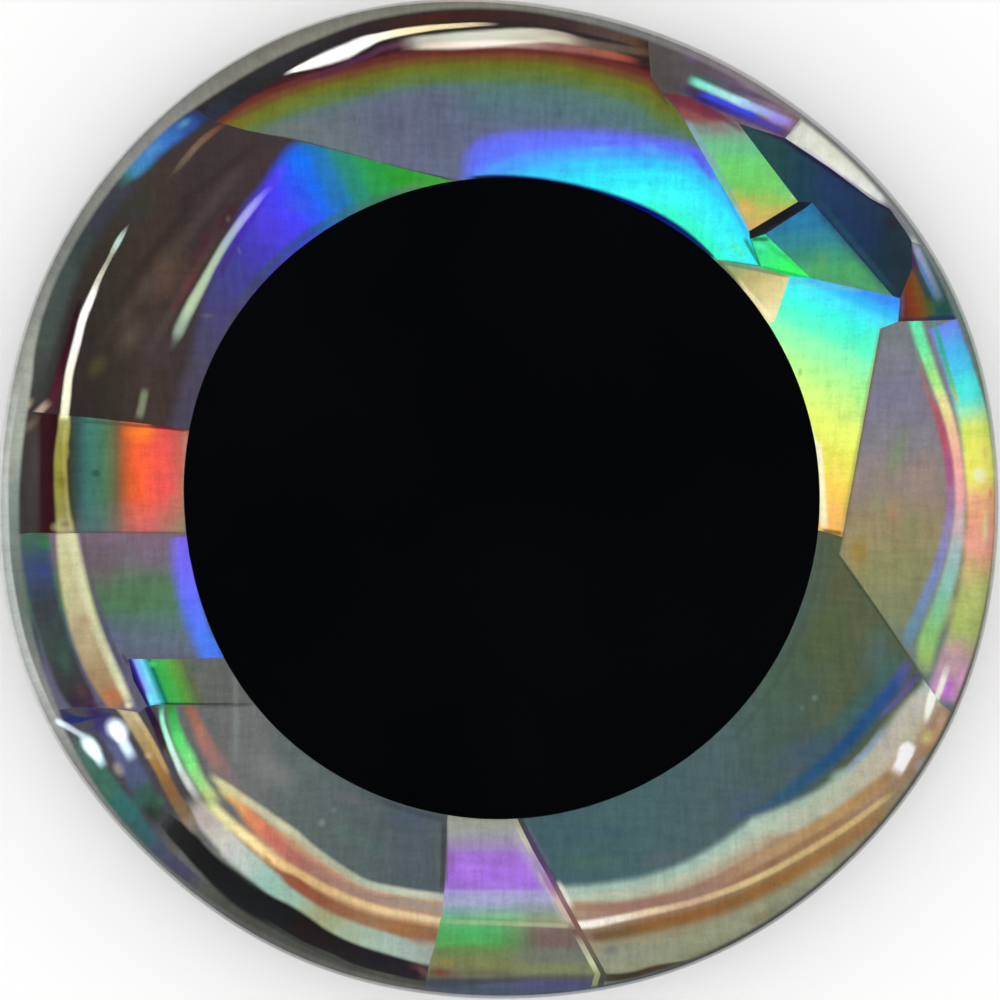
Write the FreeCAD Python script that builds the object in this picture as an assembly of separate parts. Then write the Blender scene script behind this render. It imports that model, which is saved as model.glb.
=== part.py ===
# Self-adhesive domed eye for a fishing lure, 15 mm across.
#
# A round disc is die-cut from holographic film with a pressure-sensitive
# adhesive on its back.  A black pupil is screen-printed in the middle of the
# film.  A clear two-part resin is then poured on top: it runs out to the cut
# edge of the film, is held there by surface tension and cures as a lens that
# is nearly flat in the middle and rolls over a tight shoulder at the rim,
# standing slightly proud of the cut edge all round.
#
# Millimetres, +Z up.  The origin is the centre of the adhesive's underside,
# which is the face that the eye is stuck down by and rests on.  All pieces are
# concentric about Z.
#
#   adhesive_backing   acrylic adhesive layer, die-cut with the film
#   holographic_film   metallised, embossed polyester film
#   pupil_print        printed black disc, a few hundredths thick
#   resin_dome         clear cast lens, with the print's own recess underneath
import FreeCAD, Part
import math
import os

V = FreeCAD.Vector

# ---- driving dimensions (mm) ------------------------------------------------
EYE_D = 15.0            # largest diameter, at the resin's waist
FILM_INSET = 0.17       # resin stands this far outside the cut edge of the film
ADHESIVE_T = 0.050      # acrylic adhesive
FILM_T = 0.075          # embossed polyester film
PRINT_T = 0.015         # screen-printed ink
PUPIL_D = 9.22          # printed pupil
CAPILLARY = 1.55        # capillary length of the liquid resin, sets the shoulder
WAIST_LOW = 0.45        # contact line up to the start of the waist
WAIST_H = 0.20          # upright band at the largest diameter

EYE_R = EYE_D / 2.0
FILM_R = EYE_R - FILM_INSET
PUPIL_R = PUPIL_D / 2.0
Z_FILM = ADHESIVE_T                  # underside of the film
Z_TOP_FILM = ADHESIVE_T + FILM_T     # the resin is cast on this face
Z_PRINT = Z_TOP_FILM + PRINT_T
Z_WAIST_0 = Z_TOP_FILM + WAIST_LOW
Z_WAIST_1 = Z_WAIST_0 + WAIST_H


def drop(apex_curvature, step=0.004):
    """Profile of a resting drop from its apex to where its wall is upright.

    Surface tension against weight: the curvature at a depth z under the apex
    is 2 b + z / a^2.  Returns (r, depth, slope) rows in mm and radians.
    """
    def rate(r, z, phi):
        ring = apex_curvature if r < 1e-9 else math.sin(phi) / r
        return (math.cos(phi), math.sin(phi),
                2.0 * apex_curvature + z / CAPILLARY ** 2 - ring)

    r = z = phi = 0.0
    rows = [(0.0, 0.0, 0.0)]
    while phi < math.pi / 2 and len(rows) < 20000:
        k1 = rate(r, z, phi)
        k2 = rate(r + step / 2 * k1[0], z + step / 2 * k1[1], phi + step / 2 * k1[2])
        k3 = rate(r + step / 2 * k2[0], z + step / 2 * k2[1], phi + step / 2 * k2[2])
        k4 = rate(r + step * k3[0], z + step * k3[1], phi + step * k3[2])
        nr, nz, nphi = (v + step / 6 * (a + 2 * b + 2 * c + d)
                        for v, a, b, c, d in zip((r, z, phi), k1, k2, k3, k4))
        if nphi >= math.pi / 2:
            t = (math.pi / 2 - phi) / (nphi - phi)
            rows.append((r + t * (nr - r), z + t * (nz - z), math.pi / 2))
            break
        r, z, phi = nr, nz, nphi
        rows.append((r, z, phi))
    return rows


def fitted_drop():
    """The drop whose upright wall comes at EYE_R, found by bisection."""
    low, high = 1e-7, 1.0
    for _ in range(70):
        mid = math.sqrt(low * high)
        if drop(mid)[-1][0] > EYE_R:
            low = mid
        else:
            high = mid
    return drop(math.sqrt(low * high))


rows = fitted_drop()
RISE = rows[-1][1]                   # waist to apex
Z_APEX = Z_WAIST_1 + RISE

# Points for the spline: even steps of slope over the shoulder, and of radius
# over the crown, so that the flat and the tight parts are both followed.
wanted = [math.radians(d) for d in (4, 7, 11, 16, 22, 29, 37, 46, 56, 67, 78)]
points = []
for target in (1.2, 2.4, 3.5, 4.4):
    points.append(min(rows, key=lambda row: abs(row[0] - target)))
for phi in wanted:
    row = min(rows, key=lambda item: abs(item[2] - phi))
    if row[0] > points[-1][0] + 0.15:
        points.append(row)
crown = [V(0, 0, Z_APEX)] + [V(r, 0, Z_APEX - d) for r, d, _ in points]
crown.append(V(EYE_R, 0, Z_WAIST_1))

curve = Part.BSplineCurve()
curve.interpolate(Points=crown, InitialTangent=V(1, 0, 0), FinalTangent=V(0, 0, -1))

# Underside of the bead: an arc upright at the waist that runs in to the film's
# cut edge.
rho = (FILM_INSET ** 2 + WAIST_LOW ** 2) / (2 * FILM_INSET)
centre = V(EYE_R - rho, 0, Z_WAIST_0)
half = 0.5 * math.asin(WAIST_LOW / rho)
bead_mid = centre + V(rho * math.cos(half), 0, -rho * math.sin(half))
bead = Part.Arc(V(EYE_R, 0, Z_WAIST_0), bead_mid, V(FILM_R, 0, Z_TOP_FILM))

profile = Part.Wire([
    curve.toShape(),
    Part.makeLine(V(EYE_R, 0, Z_WAIST_1), V(EYE_R, 0, Z_WAIST_0)),
    bead.toShape(),
    Part.makeLine(V(FILM_R, 0, Z_TOP_FILM), V(PUPIL_R, 0, Z_TOP_FILM)),
    Part.makeLine(V(PUPIL_R, 0, Z_TOP_FILM), V(PUPIL_R, 0, Z_PRINT)),
    Part.makeLine(V(PUPIL_R, 0, Z_PRINT), V(0, 0, Z_PRINT)),
    Part.makeLine(V(0, 0, Z_PRINT), V(0, 0, Z_APEX)),
])
dome = Part.Face(profile).revolve(V(0, 0, 0), V(0, 0, 1), 360)
if dome.ShapeType != "Solid":
    dome = Part.makeSolid(dome.Shells[0])
if dome.Volume < 0:
    dome.reverse()

adhesive = Part.makeCylinder(FILM_R, ADHESIVE_T, V(0, 0, 0), V(0, 0, 1))
film = Part.makeCylinder(FILM_R, FILM_T, V(0, 0, Z_FILM), V(0, 0, 1))
pupil = Part.makeCylinder(PUPIL_R, PRINT_T, V(0, 0, Z_TOP_FILM), V(0, 0, 1))

os.makedirs("parts", exist_ok=True)
DENSITY = {"resin_dome": 1.15e-6, "holographic_film": 1.39e-6,
           "pupil_print": 1.30e-6, "adhesive_backing": 1.05e-6}   # kg per mm3
mass = 0.0
for name, solid in (("resin_dome", dome), ("holographic_film", film),
                    ("pupil_print", pupil), ("adhesive_backing", adhesive)):
    assert solid.isValid() and solid.isClosed(), name
    solid.exportStep("parts/%s.step" % name)
    mass += solid.Volume * DENSITY[name]
    print("%-18s volume %9.4f mm3  faces %d" % (name, solid.Volume, len(solid.Faces)))
print("rise over the waist %.3f, overall height %.3f, mass %.3e kg" % (RISE, Z_APEX, mass))
for share in (0.3, 0.5, 0.64, 0.75, 0.82, 0.87, 0.92, 0.96):
    row = min(rows, key=lambda item: abs(item[0] - share * EYE_R))
    print("  at %.2f R: height %.3f, slope %.1f deg" % (share, Z_APEX - row[1], math.degrees(row[2])))
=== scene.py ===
import math

import bpy
import numpy as np
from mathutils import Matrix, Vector


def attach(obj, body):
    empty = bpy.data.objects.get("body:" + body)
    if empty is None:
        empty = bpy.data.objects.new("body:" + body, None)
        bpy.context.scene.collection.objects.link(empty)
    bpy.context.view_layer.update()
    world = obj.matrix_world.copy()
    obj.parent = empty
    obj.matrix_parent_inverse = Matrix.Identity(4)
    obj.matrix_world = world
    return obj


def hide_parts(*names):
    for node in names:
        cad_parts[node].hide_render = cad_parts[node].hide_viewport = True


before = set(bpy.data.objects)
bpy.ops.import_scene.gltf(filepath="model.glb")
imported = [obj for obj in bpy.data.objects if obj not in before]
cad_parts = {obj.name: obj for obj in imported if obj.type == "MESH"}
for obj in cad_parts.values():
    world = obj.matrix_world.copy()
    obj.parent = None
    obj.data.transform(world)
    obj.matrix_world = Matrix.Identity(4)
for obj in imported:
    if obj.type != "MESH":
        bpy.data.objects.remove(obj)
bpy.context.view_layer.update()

# ---------------------------------------------------------------------------
# Domed stick-on lure eye.  Millimetres in this script, metres in the meshes.
# Clear cast resin lens on a broken-shard holographic foil, with a printed
# black pupil and a milky adhesive back.
# ---------------------------------------------------------------------------
MM = 0.001
R = 7.5                    # waist radius
FILM_R = 7.33              # cut edge of the film
PUPIL_R = 4.61
Z_ADH = 0.050
Z_FILM = 0.125             # top of the film, where the resin starts
Z_PRINT = 0.140
WAIST_0, WAIST_1 = 0.575, 0.775
CAPILLARY = 1.55
IOR = 1.5
NS = 384                   # segments round the eye


# ---- the poured lens's profile ---------------------------------------------
def drop(b, step=0.004):
    def rate(r, z, p):
        ring = b if r < 1e-9 else math.sin(p) / r
        return math.cos(p), math.sin(p), 2 * b + z / CAPILLARY ** 2 - ring

    r = z = p = 0.0
    rows = [(0.0, 0.0, 0.0)]
    while p < math.pi / 2 and len(rows) < 20000:
        k1 = rate(r, z, p)
        k2 = rate(*(v + step / 2 * k for v, k in zip((r, z, p), k1)))
        k3 = rate(*(v + step / 2 * k for v, k in zip((r, z, p), k2)))
        k4 = rate(*(v + step * k for v, k in zip((r, z, p), k3)))
        new = tuple(v + step / 6 * (a + 2 * c + 2 * d + e)
                    for v, a, c, d, e in zip((r, z, p), k1, k2, k3, k4))
        if new[2] >= math.pi / 2:
            t = (math.pi / 2 - p) / (new[2] - p)
            rows.append((r + t * (new[0] - r), z + t * (new[1] - z), math.pi / 2))
            break
        r, z, p = new
        rows.append(new)
    return rows


def fitted_drop():
    low, high = 1e-7, 1.0
    for _ in range(60):
        mid = math.sqrt(low * high)
        if drop(mid, 0.012)[-1][0] > R:
            low = mid
        else:
            high = mid
    return np.array(drop(math.sqrt(low * high)))


ROWS = fitted_drop()                       # radius, depth under the apex, slope
APEX = WAIST_1 + ROWS[-1, 1]
PR, PZ, PP = ROWS[:, 0] * R / ROWS[-1, 0], APEX - ROWS[:, 1], ROWS[:, 2]

# The pour is not quite round: its outline wanders by a percent or two.
WAVES = ((1, 2.85, -157), (2, 4.79, -82), (3, 2.57, -5), (4, 2.62, 128),
         (5, 0.84, -160), (6, 0.42, 133), (7, 0.36, -80), (8, 0.95, 170))


def outline(theta):
    """Radius of the pour at this angle, as a share of the mean."""
    return 1 + sum(a * np.cos(n * theta - math.radians(f)) for n, a, f in WAVES) / 501.7


# ---- camera, and where it sees each point of the film through the lens ------
LENS, SENSOR, FRAME_MM = 200.0, 36.0, 14.949
Z_MID = 0.675
CAM_Z = Z_MID + FRAME_MM / 2 / (SENSOR / 2 / LENS)
PX = FRAME_MM / 1000                       # one pixel, in mm, at the waist
CX, CY = 499.0, 498.5                      # the eye's middle in the picture
R0 = R / PX                                # mean radius in pixels


def lens_table():
    """(apparent share of the radius, film radius) down the profile."""
    seen, film = [], []
    for r, z, p in zip(PR, PZ, PP):
        d = np.array([r, z - CAM_Z])
        d /= np.linalg.norm(d)
        n = np.array([math.sin(p), math.cos(p)])
        c = -d @ n
        if c <= 0.01:
            break
        k = 1 / IOR
        t = k * d + (k * c - math.sqrt(1 - k * k * (1 - c * c))) * n
        seen.append(r * (CAM_Z - Z_MID) / (CAM_Z - z) / R)
        film.append(r + t[0] / t[1] * (Z_FILM - z))
    return np.array(seen), np.array(film)


SEEN, ON_FILM = lens_table()
keep = np.concatenate([[True], np.diff(np.maximum.accumulate(ON_FILM)) > 1e-6])
SEEN_M, ON_FILM_M = SEEN[keep], np.maximum.accumulate(ON_FILM)[keep]


SHELL_R = 8.3                             # the studio's shell round the eye


def mirror_table():
    """(apparent share of the radius, angle from overhead of the place on the
    shell that the lens mirrors there), down the profile."""
    seen, tilt = [], []
    for r, z, p in zip(PR, PZ, PP):
        d = np.array([r, z - CAM_Z])
        d /= np.linalg.norm(d)
        n = np.array([math.sin(p), math.cos(p)])
        if -d @ n <= 0.01:
            break
        o = d - 2 * (d @ n) * n
        b = r * o[0] + z * o[1]
        k = -b + math.sqrt(b * b - (r * r + z * z - SHELL_R ** 2))
        x, y = r + k * o[0], z + k * o[1]
        if y < 0:
            break
        seen.append(r * (CAM_Z - Z_MID) / (CAM_Z - z) / R)
        tilt.append(math.degrees(math.atan2(x, y)))
    return np.array(seen), np.array(tilt)


MIRROR_S, MIRROR_B = mirror_table()


def polar(px, py):
    """Pixel -> (angle in radians, share of the outline's radius)."""
    dx, dy = px - CX, CY - py
    th = math.atan2(dy, dx)
    return th, math.hypot(dx, dy) / (R0 * outline(th))


def film_point(px, py):
    """Where on the film (mm) the lens shows the point at this pixel."""
    th, rho = polar(px, py)
    r = float(np.interp(rho, SEEN_M, ON_FILM_M)) * outline(th)
    return r * math.cos(th), r * math.sin(th)


def rel(deg, rho):
    """A radius measured against the mean outline -> against the outline there."""
    return rho / outline(math.radians(deg))


# ---- small helpers ----------------------------------------------------------
def new_object(name, verts, faces, mats=(), index=None, smooth=None):
    me = bpy.data.meshes.new(name)
    me.from_pydata([tuple(c * MM for c in v) for v in verts], [], faces)
    me.update()
    ob = bpy.data.objects.new(name, me)
    bpy.context.scene.collection.objects.link(ob)
    for m in mats:
        me.materials.append(m)
    if index is not None:
        me.polygons.foreach_set("material_index", index)
    if smooth is not None:
        me.polygons.foreach_set("use_smooth", smooth)
    return ob


def srgb(*c):
    c = np.array(c, float) / 255
    return tuple(np.where(c <= 0.04045, c / 12.92, ((c + 0.055) / 1.055) ** 2.4))


GAIN, VEIL = 1.0, 0.0


def paint(*c):
    """Albedo that shows as this screen colour under the set's light."""
    return tuple(float(min(max((v - VEIL) / GAIN, 0.001), 0.98)) for v in srgb(*c)) + (1.0,)


class Tree:
    """Shorthand for building a node tree."""

    def __init__(self, tree):
        self.t = tree

    def node(self, kind, **props):
        n = self.t.nodes.new(kind)
        for k, v in props.items():
            setattr(n, k, v)
        return n

    def put(self, socket, value):
        if isinstance(value, bpy.types.NodeSocket):
            self.t.links.new(value, socket)
        else:
            socket.default_value = value

    def math(self, op, a, b=0.0, c=None, clamp=False):
        n = self.node("ShaderNodeMath", operation=op, use_clamp=clamp)
        self.put(n.inputs[0], a)
        self.put(n.inputs[1], b)
        if c is not None:
            self.put(n.inputs[2], c)
        return n.outputs[0]

    def smooth(self, x, a, b, lo=0.0, hi=1.0):
        n = self.node("ShaderNodeMapRange", interpolation_type="SMOOTHSTEP")
        self.put(n.inputs["Value"], x)
        for k, v in (("From Min", a), ("From Max", b), ("To Min", lo), ("To Max", hi)):
            self.put(n.inputs[k], v)
        return n.outputs[0]

    def mix(self, f, a, b, blend="MIX"):
        n = self.node("ShaderNodeMix", data_type="RGBA", blend_type=blend)
        self.put(n.inputs[0], f)
        self.put(n.inputs[6], a)
        self.put(n.inputs[7], b)
        return n.outputs[2]

    def ramp(self, x, lo, hi, stops, how="LINEAR"):
        """Colours at places between lo and hi of x."""
        f = self.math("DIVIDE", self.math("SUBTRACT", x, lo), hi - lo)
        n = self.node("ShaderNodeValToRGB")
        n.color_ramp.interpolation = how
        e = n.color_ramp.elements
        stops = sorted(((p - lo) / (hi - lo), c) for p, c in stops)
        e[0].position, e[1].position = 0.0, 1.0
        e[0].color, e[1].color = stops[0][1], stops[-1][1]
        for p, c in stops[1:-1]:
            e.new(min(max(p, 1e-4), 1 - 1e-4)).color = c
        self.put(n.inputs[0], f)
        return n.outputs[0]

    def curve(self, x, lo, hi, points, low=0.0, high=1.0):
        """A smooth function of x through the points, with values from low to high."""
        f = self.math("DIVIDE", self.math("SUBTRACT", x, lo), hi - lo, clamp=True)
        n = self.node("ShaderNodeFloatCurve")
        cm = n.mapping
        cu = cm.curves[0]
        pts = sorted(((p - lo) / (hi - lo), (v - low) / (high - low)) for p, v in points)
        cu.points[0].location, cu.points[1].location = pts[0], pts[-1]
        for p, v in pts[1:-1]:
            cu.points.new(p, v)
        for q in cu.points:
            q.handle_type = "AUTO_CLAMPED"
        cm.extend = "HORIZONTAL"
        cm.update()
        self.put(n.inputs["Value"], f)
        return self.math("MULTIPLY_ADD", n.outputs[0], high - low, low)


def material(name):
    m = bpy.data.materials.new(name)
    m.use_nodes = True
    nt = m.node_tree
    nt.nodes.clear()
    t = Tree(nt)
    out = t.node("ShaderNodeOutputMaterial")
    p = t.node("ShaderNodeBsdfPrincipled")
    nt.links.new(p.outputs[0], out.inputs[0])
    return m, t, p


# ---------------------------------------------------------------------------
# The foil
# ---------------------------------------------------------------------------
def seen_group(mirror=False):
    """Place -> where it appears from above: X, Y in picture pixels, share of the
    radius, and angle in degrees (0..360 and -180..180).  It is a place on the film
    seen through the lens or, with mirror, one on the studio's shell that the
    lens mirrors."""
    g = bpy.data.node_groups.new("mirrored" if mirror else "seen_from_above", "ShaderNodeTree")
    for k in ("X", "Y", "Rho", "Deg", "Deg2", "Share"):
        g.interface.new_socket(k, in_out="OUTPUT", socket_type="NodeSocketFloat")
    t = Tree(g)
    out = t.node("NodeGroupOutput")
    co = t.node("ShaderNodeTexCoord")
    sep = t.node("ShaderNodeSeparateXYZ")
    g.links.new(co.outputs["Object"], sep.inputs[0])
    x = t.math("DIVIDE", sep.outputs[0], MM)
    y = t.math("DIVIDE", sep.outputs[1], MM)
    r = t.math("SQRT", t.math("ADD", t.math("MULTIPLY", x, x), t.math("MULTIPLY", y, y)))
    a2 = t.math("MULTIPLY", t.math("ARCTAN2", y, x), 180 / math.pi)
    a1 = t.math("ADD", a2, t.math("MULTIPLY", t.math("LESS_THAN", a2, 0.0), 360.0))
    s = t.curve(a1, 0, 360, [(d, float(outline(math.radians(d)))) for d in range(0, 361, 10)], 0.9, 1.1)
    if mirror:
        z = t.math("DIVIDE", sep.outputs[2], MM)
        tilt = t.math("MULTIPLY", t.math("ARCTAN2", r, z), 180 / math.pi)
        lo, hi = float(MIRROR_B[0]), float(MIRROR_B[-1])
        at = np.linspace(lo, hi, 24)
        rho = t.curve(tilt, lo, hi, [(float(v), float(np.interp(v, MIRROR_B, MIRROR_S))) for v in at], 0.0, 1.1)
    else:
        film = t.math("DIVIDE", r, s)
        lo, hi = 4.0, float(ON_FILM_M[-1])
        # dense near the rim, where the lens squeezes the film hardest
        at = np.concatenate([np.linspace(lo, 6.2, 8), np.linspace(6.3, hi, 12)])
        rho = t.curve(film, lo, hi, [(float(v), float(np.interp(v, ON_FILM_M, SEEN_M))) for v in at], 0.4, 1.1)
    g.links.new(rho, out.inputs["Share"])
    rho = t.math("MULTIPLY", rho, s)     # against the mean outline
    k = t.math("MULTIPLY", t.math("DIVIDE", rho, t.math("MAXIMUM", r, 1e-4)), R0)
    g.links.new(t.math("MULTIPLY_ADD", x, k, CX), out.inputs["X"])
    g.links.new(t.math("SUBTRACT", CY, t.math("MULTIPLY", y, k)), out.inputs["Y"])
    g.links.new(rho, out.inputs["Rho"])
    g.links.new(a1, out.inputs["Deg"])
    g.links.new(a2, out.inputs["Deg2"])
    return g


def grain_group():
    """Fine woven lines of the embossing with a few specks: a multiplier near 1,
    and a height."""
    g = bpy.data.node_groups.new("foil_grain", "ShaderNodeTree")
    for k in ("Shade", "Height"):
        g.interface.new_socket(k, in_out="OUTPUT", socket_type="NodeSocketFloat")
    t = Tree(g)
    out = t.node("NodeGroupOutput")
    co = t.node("ShaderNodeTexCoord")

    def noise(scale, stretch, detail=2.0, rough=0.55, shift=0.0):
        m = t.node("ShaderNodeMapping")
        g.links.new(co.outputs["Object"], m.inputs[0])
        m.inputs["Scale"].default_value = stretch
        m.inputs["Location"].default_value = (shift, shift * 0.7, 0.0)
        n = t.node("ShaderNodeTexNoise")
        n.inputs["Scale"].default_value = scale
        n.inputs["Detail"].default_value = detail
        n.inputs["Roughness"].default_value = rough
        g.links.new(m.outputs[0], n.inputs["Vector"])
        return n.outputs[0]

    warp = noise(11000, (1.0, 0.22, 1), 2.0)          # upright threads
    weft = noise(11000, (0.22, 1.0, 1), 2.0, shift=0.011)
    fine = noise(24000, (1, 1, 1), 2.0, shift=0.02)
    cloud = noise(900, (1, 1, 1), 2.0, shift=0.03)
    a = t.math("SUBTRACT", warp, 0.5)
    b = t.math("SUBTRACT", weft, 0.5)
    c = t.math("SUBTRACT", fine, 0.5)
    d = t.math("SUBTRACT", cloud, 0.5)
    h = t.math("ADD", t.math("MULTIPLY", a, 0.46), t.math("MULTIPLY", b, 0.34))
    h = t.math("MULTIPLY_ADD", c, 0.30, h)
    shade = t.math("ADD", 1.0, t.math("MULTIPLY_ADD", d, 0.20, h))
    # dark pits, sparse
    v = t.node("ShaderNodeTexVoronoi", feature="F1")
    v.inputs["Scale"].default_value = 1500
    g.links.new(co.outputs["Object"], v.inputs["Vector"])
    pick = t.node("ShaderNodeTexNoise")
    pick.inputs["Scale"].default_value = 420
    g.links.new(co.outputs["Object"], pick.inputs["Vector"])
    pit = t.math("MULTIPLY", t.smooth(v.outputs["Distance"], 0.13, 0.05),
                 t.smooth(pick.outputs[0], 0.60, 0.64))
    shade = t.math("MULTIPLY", shade, t.math("SUBTRACT", 1.0, t.math("MULTIPLY", pit, 0.45)))
    g.links.new(shade, out.inputs["Shade"])
    g.links.new(h, out.inputs["Height"])
    return g


SEEN_G, MIRROR_G, GRAIN_G = seen_group(), seen_group(True), grain_group()


class Field:
    """The colours of one shard, laid down in layers.  Places are given as they
    appear from above, in picture pixels."""

    def __init__(self, name):
        self.m, self.t, self.p = material("foil_" + name)
        self.start(SEEN_G)

    def start(self, group):
        n = self.t.node("ShaderNodeGroup", node_tree=group)
        self.X, self.Y, self.rho, self.deg, self.deg2, self.share = n.outputs[:6]
        self.colour = None

    def pick(self, c, x=None, y=None):
        return paint(*c)

    def over(self, colour, mask):
        self.colour = colour if self.colour is None else self.t.mix(mask, self.colour, colour)

    def times(self, a, b):
        return self.t.math("MULTIPLY", a, b)

    def base(self, *c):
        self.over(paint(*c), 1.0)

    def along(self, x=0.0, y=0.0, rho=0.0, deg=0.0, deg2=0.0, c=0.0):
        s = None
        for k, v in ((x, self.X), (y, self.Y), (rho, self.rho), (deg, self.deg), (deg2, self.deg2)):
            if k:
                s = self.t.math("MULTIPLY_ADD", v, k, c if s is None else s)
        return s

    def stops(self, at, stops, how="EASE"):
        return self.t.ramp(at, stops[0][0], stops[-1][0], [(s[0], self.pick(s[1:])) for s in stops], how)

    def wash(self, stops, mask=1.0, how="EASE", **line):
        """Colours along a line of the picture; stops are (place, r, g, b)."""
        self.over(self.stops(self.along(**line), sorted(stops), how), mask)

    def turn(self, pts):
        """Angle to use for these points, and their angles, going up."""
        deg = [math.degrees(math.atan2(CY - y, x - CX)) % 360 for x, y in pts]
        two = max(deg) - min(deg) > 180
        if two:
            deg = [(d + 180) % 360 - 180 for d in deg]
        return (self.deg2 if two else self.deg), deg

    def by_angle(self, pts, values, low, high):
        """A smooth value round the eye that takes these values at these points."""
        v, deg = self.turn(pts)
        row = sorted(zip(deg, values))
        return self.t.curve(v, row[0][0], row[-1][0], row, low, high)

    def off(self, pts):
        """How far outside a curve, in pixels. The curve runs round the eye through pts."""
        c = self.by_angle(pts, [math.hypot(x - CX, CY - y) for x, y in pts], 250.0, 550.0)
        return self.t.math("SUBTRACT", self.t.math("MULTIPLY", self.rho, R0), c)

    def span(self, pts, ease=2.0, first=None, last=None):
        """1 along the curve, falling off past its first and last point."""
        v, deg = self.turn(pts)
        up = deg[0] < deg[-1]
        a, b = (deg[0], deg[-1]) if up else (deg[-1], deg[0])
        ea, eb = (ease if first is None else first), (ease if last is None else last)
        if not up:
            ea, eb = eb, ea
        return self.times(self.t.smooth(v, a - ea, a + ea), self.t.smooth(v, b + eb, b - eb))

    def fade_deg(self, a, b):
        """0 up to a degrees, rising to 1 at b."""
        return self.t.smooth(self.deg, a, b)

    def side(self, pts, soft, outside=False):
        """1 inside a curve round the eye (or outside it), with an edge soft pixels wide."""
        o = self.off(pts)
        return self.t.smooth(o, -soft / 2, soft / 2) if outside else self.t.smooth(o, soft / 2, -soft / 2)

    def stroke(self, pts, half, colours, soft=0.6, amount=1.0, ease=1.5, first=None, last=None, mask=None):
        """A soft stroke through pts. half and colours are one value, or one at each point."""
        t = self.t
        at = t.math("ABSOLUTE", self.off(pts))
        if isinstance(half, (list, tuple)):
            half = t.math("MAXIMUM", self.by_angle(pts, half, 0.0, 40.0), 0.05)
            inner = t.math("MULTIPLY", half, 1 - soft)
        else:
            inner = half * (1 - soft)
        m = self.times(t.smooth(at, half, inner), self.span(pts, ease, first, last))
        if amount != 1.0:
            m = self.times(m, amount)
        if mask is not None:
            m = self.times(m, mask)
        if isinstance(colours[0], (list, tuple)):
            v, deg = self.turn(pts)
            row = sorted((d, self.pick(c, *p)) for d, c, p in zip(deg, colours, pts))
            col = t.ramp(v, row[0][0], row[-1][0], row, "EASE")
        else:
            col = self.pick(colours, *pts[len(pts) // 2])
        self.over(col, m)

    def rings(self, pts, stops, mask=1.0, how="EASE", scale=None):
        """Colours across a curve round the eye: stops are (pixels outside it, r, g, b)."""
        o = self.off(pts)
        if scale is not None:
            o = self.times(o, scale)
        self.over(self.stops(o, sorted(stops), how), mask)

    def blob(self, x, y, rx, ry, turn, colour, amount=1.0, soft=1.0):
        """A soft oval, its long axis turned by so many degrees clockwise."""
        t = self.t
        c, s = math.cos(math.radians(turn)), math.sin(math.radians(turn))
        dx, dy = t.math("SUBTRACT", self.X, x), t.math("SUBTRACT", self.Y, y)
        u = t.math("DIVIDE", t.math("ADD", t.math("MULTIPLY", dx, c), t.math("MULTIPLY", dy, s)), rx)
        v = t.math("DIVIDE", t.math("SUBTRACT", t.math("MULTIPLY", dy, c), t.math("MULTIPLY", dx, s)), ry)
        d = t.math("SQRT", t.math("ADD", t.math("MULTIPLY", u, u), t.math("MULTIPLY", v, v)))
        m = t.smooth(d, 1.0, 1.0 - soft)
        if amount != 1.0:
            m = self.times(m, amount)
        self.over(self.pick(colour, x, y), m)

    def line(self, x0, y0, x1, y1, half, colour, amount=1.0, soft=0.5, mask=None):
        """A soft straight stroke between two points of the picture. colour may
        be two, for its two ends."""
        t = self.t
        L = math.hypot(x1 - x0, y1 - y0)
        ux, uy = (x1 - x0) / L, (y1 - y0) / L
        dx, dy = t.math("SUBTRACT", self.X, x0), t.math("SUBTRACT", self.Y, y0)
        u = t.math("ADD", t.math("MULTIPLY", dx, ux), t.math("MULTIPLY", dy, uy))
        v = t.math("ABSOLUTE", t.math("SUBTRACT", t.math("MULTIPLY", dy, ux), t.math("MULTIPLY", dx, uy)))
        m = t.smooth(v, half, half * (1 - soft))
        e = max(L * 0.12, half)
        m = self.times(m, self.times(t.smooth(u, -e, e), t.smooth(u, L + e, L - e)))
        m = self.times(m, amount)
        if mask is not None:
            m = self.times(m, mask)
        if isinstance(colour[0], (list, tuple)):
            col = t.ramp(u, 0, L, [(0, self.pick(colour[0], x0, y0)), (L, self.pick(colour[1], x1, y1))])
        else:
            col = self.pick(colour, x0, y0)
        self.over(col, m)

    def rim(self):
        """Painted reflection at the lens's rim, where it gathers pale light: a grey line
        painted all round, wide at the top and left and hair-thin at the lower right."""
        t = self.t
        rows = RIM
        inner = t.curve(self.deg, 0, 360, [(d, w) for d, w, *_ in rows], 0.94, 1.0)
        m = t.smooth(t.math("SUBTRACT", self.share, inner), -0.005, 0.005)
        col = t.ramp(self.deg, 0, 360, [(d, paint(*c)) for d, _, *c in rows], "EASE")
        self.over(col, m)
        # painted reflection: a paler line near the very edge at the left
        pale = self.times(self.times(t.smooth(self.deg, 164, 173), t.smooth(self.deg, 214, 200)), t.smooth(self.share, 0.977, 0.983))
        self.over(paint(214, 219, 214), self.times(pale, 0.85))

    def done(self, metal=0.5, rough=0.42, grain=1.0):
        t = self.t
        self.rim()
        n = t.node("ShaderNodeGroup", node_tree=GRAIN_G)
        shade = t.math("ADD", 1.0, t.math("MULTIPLY", t.math("SUBTRACT", n.outputs[0], 1.0), grain))
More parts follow.
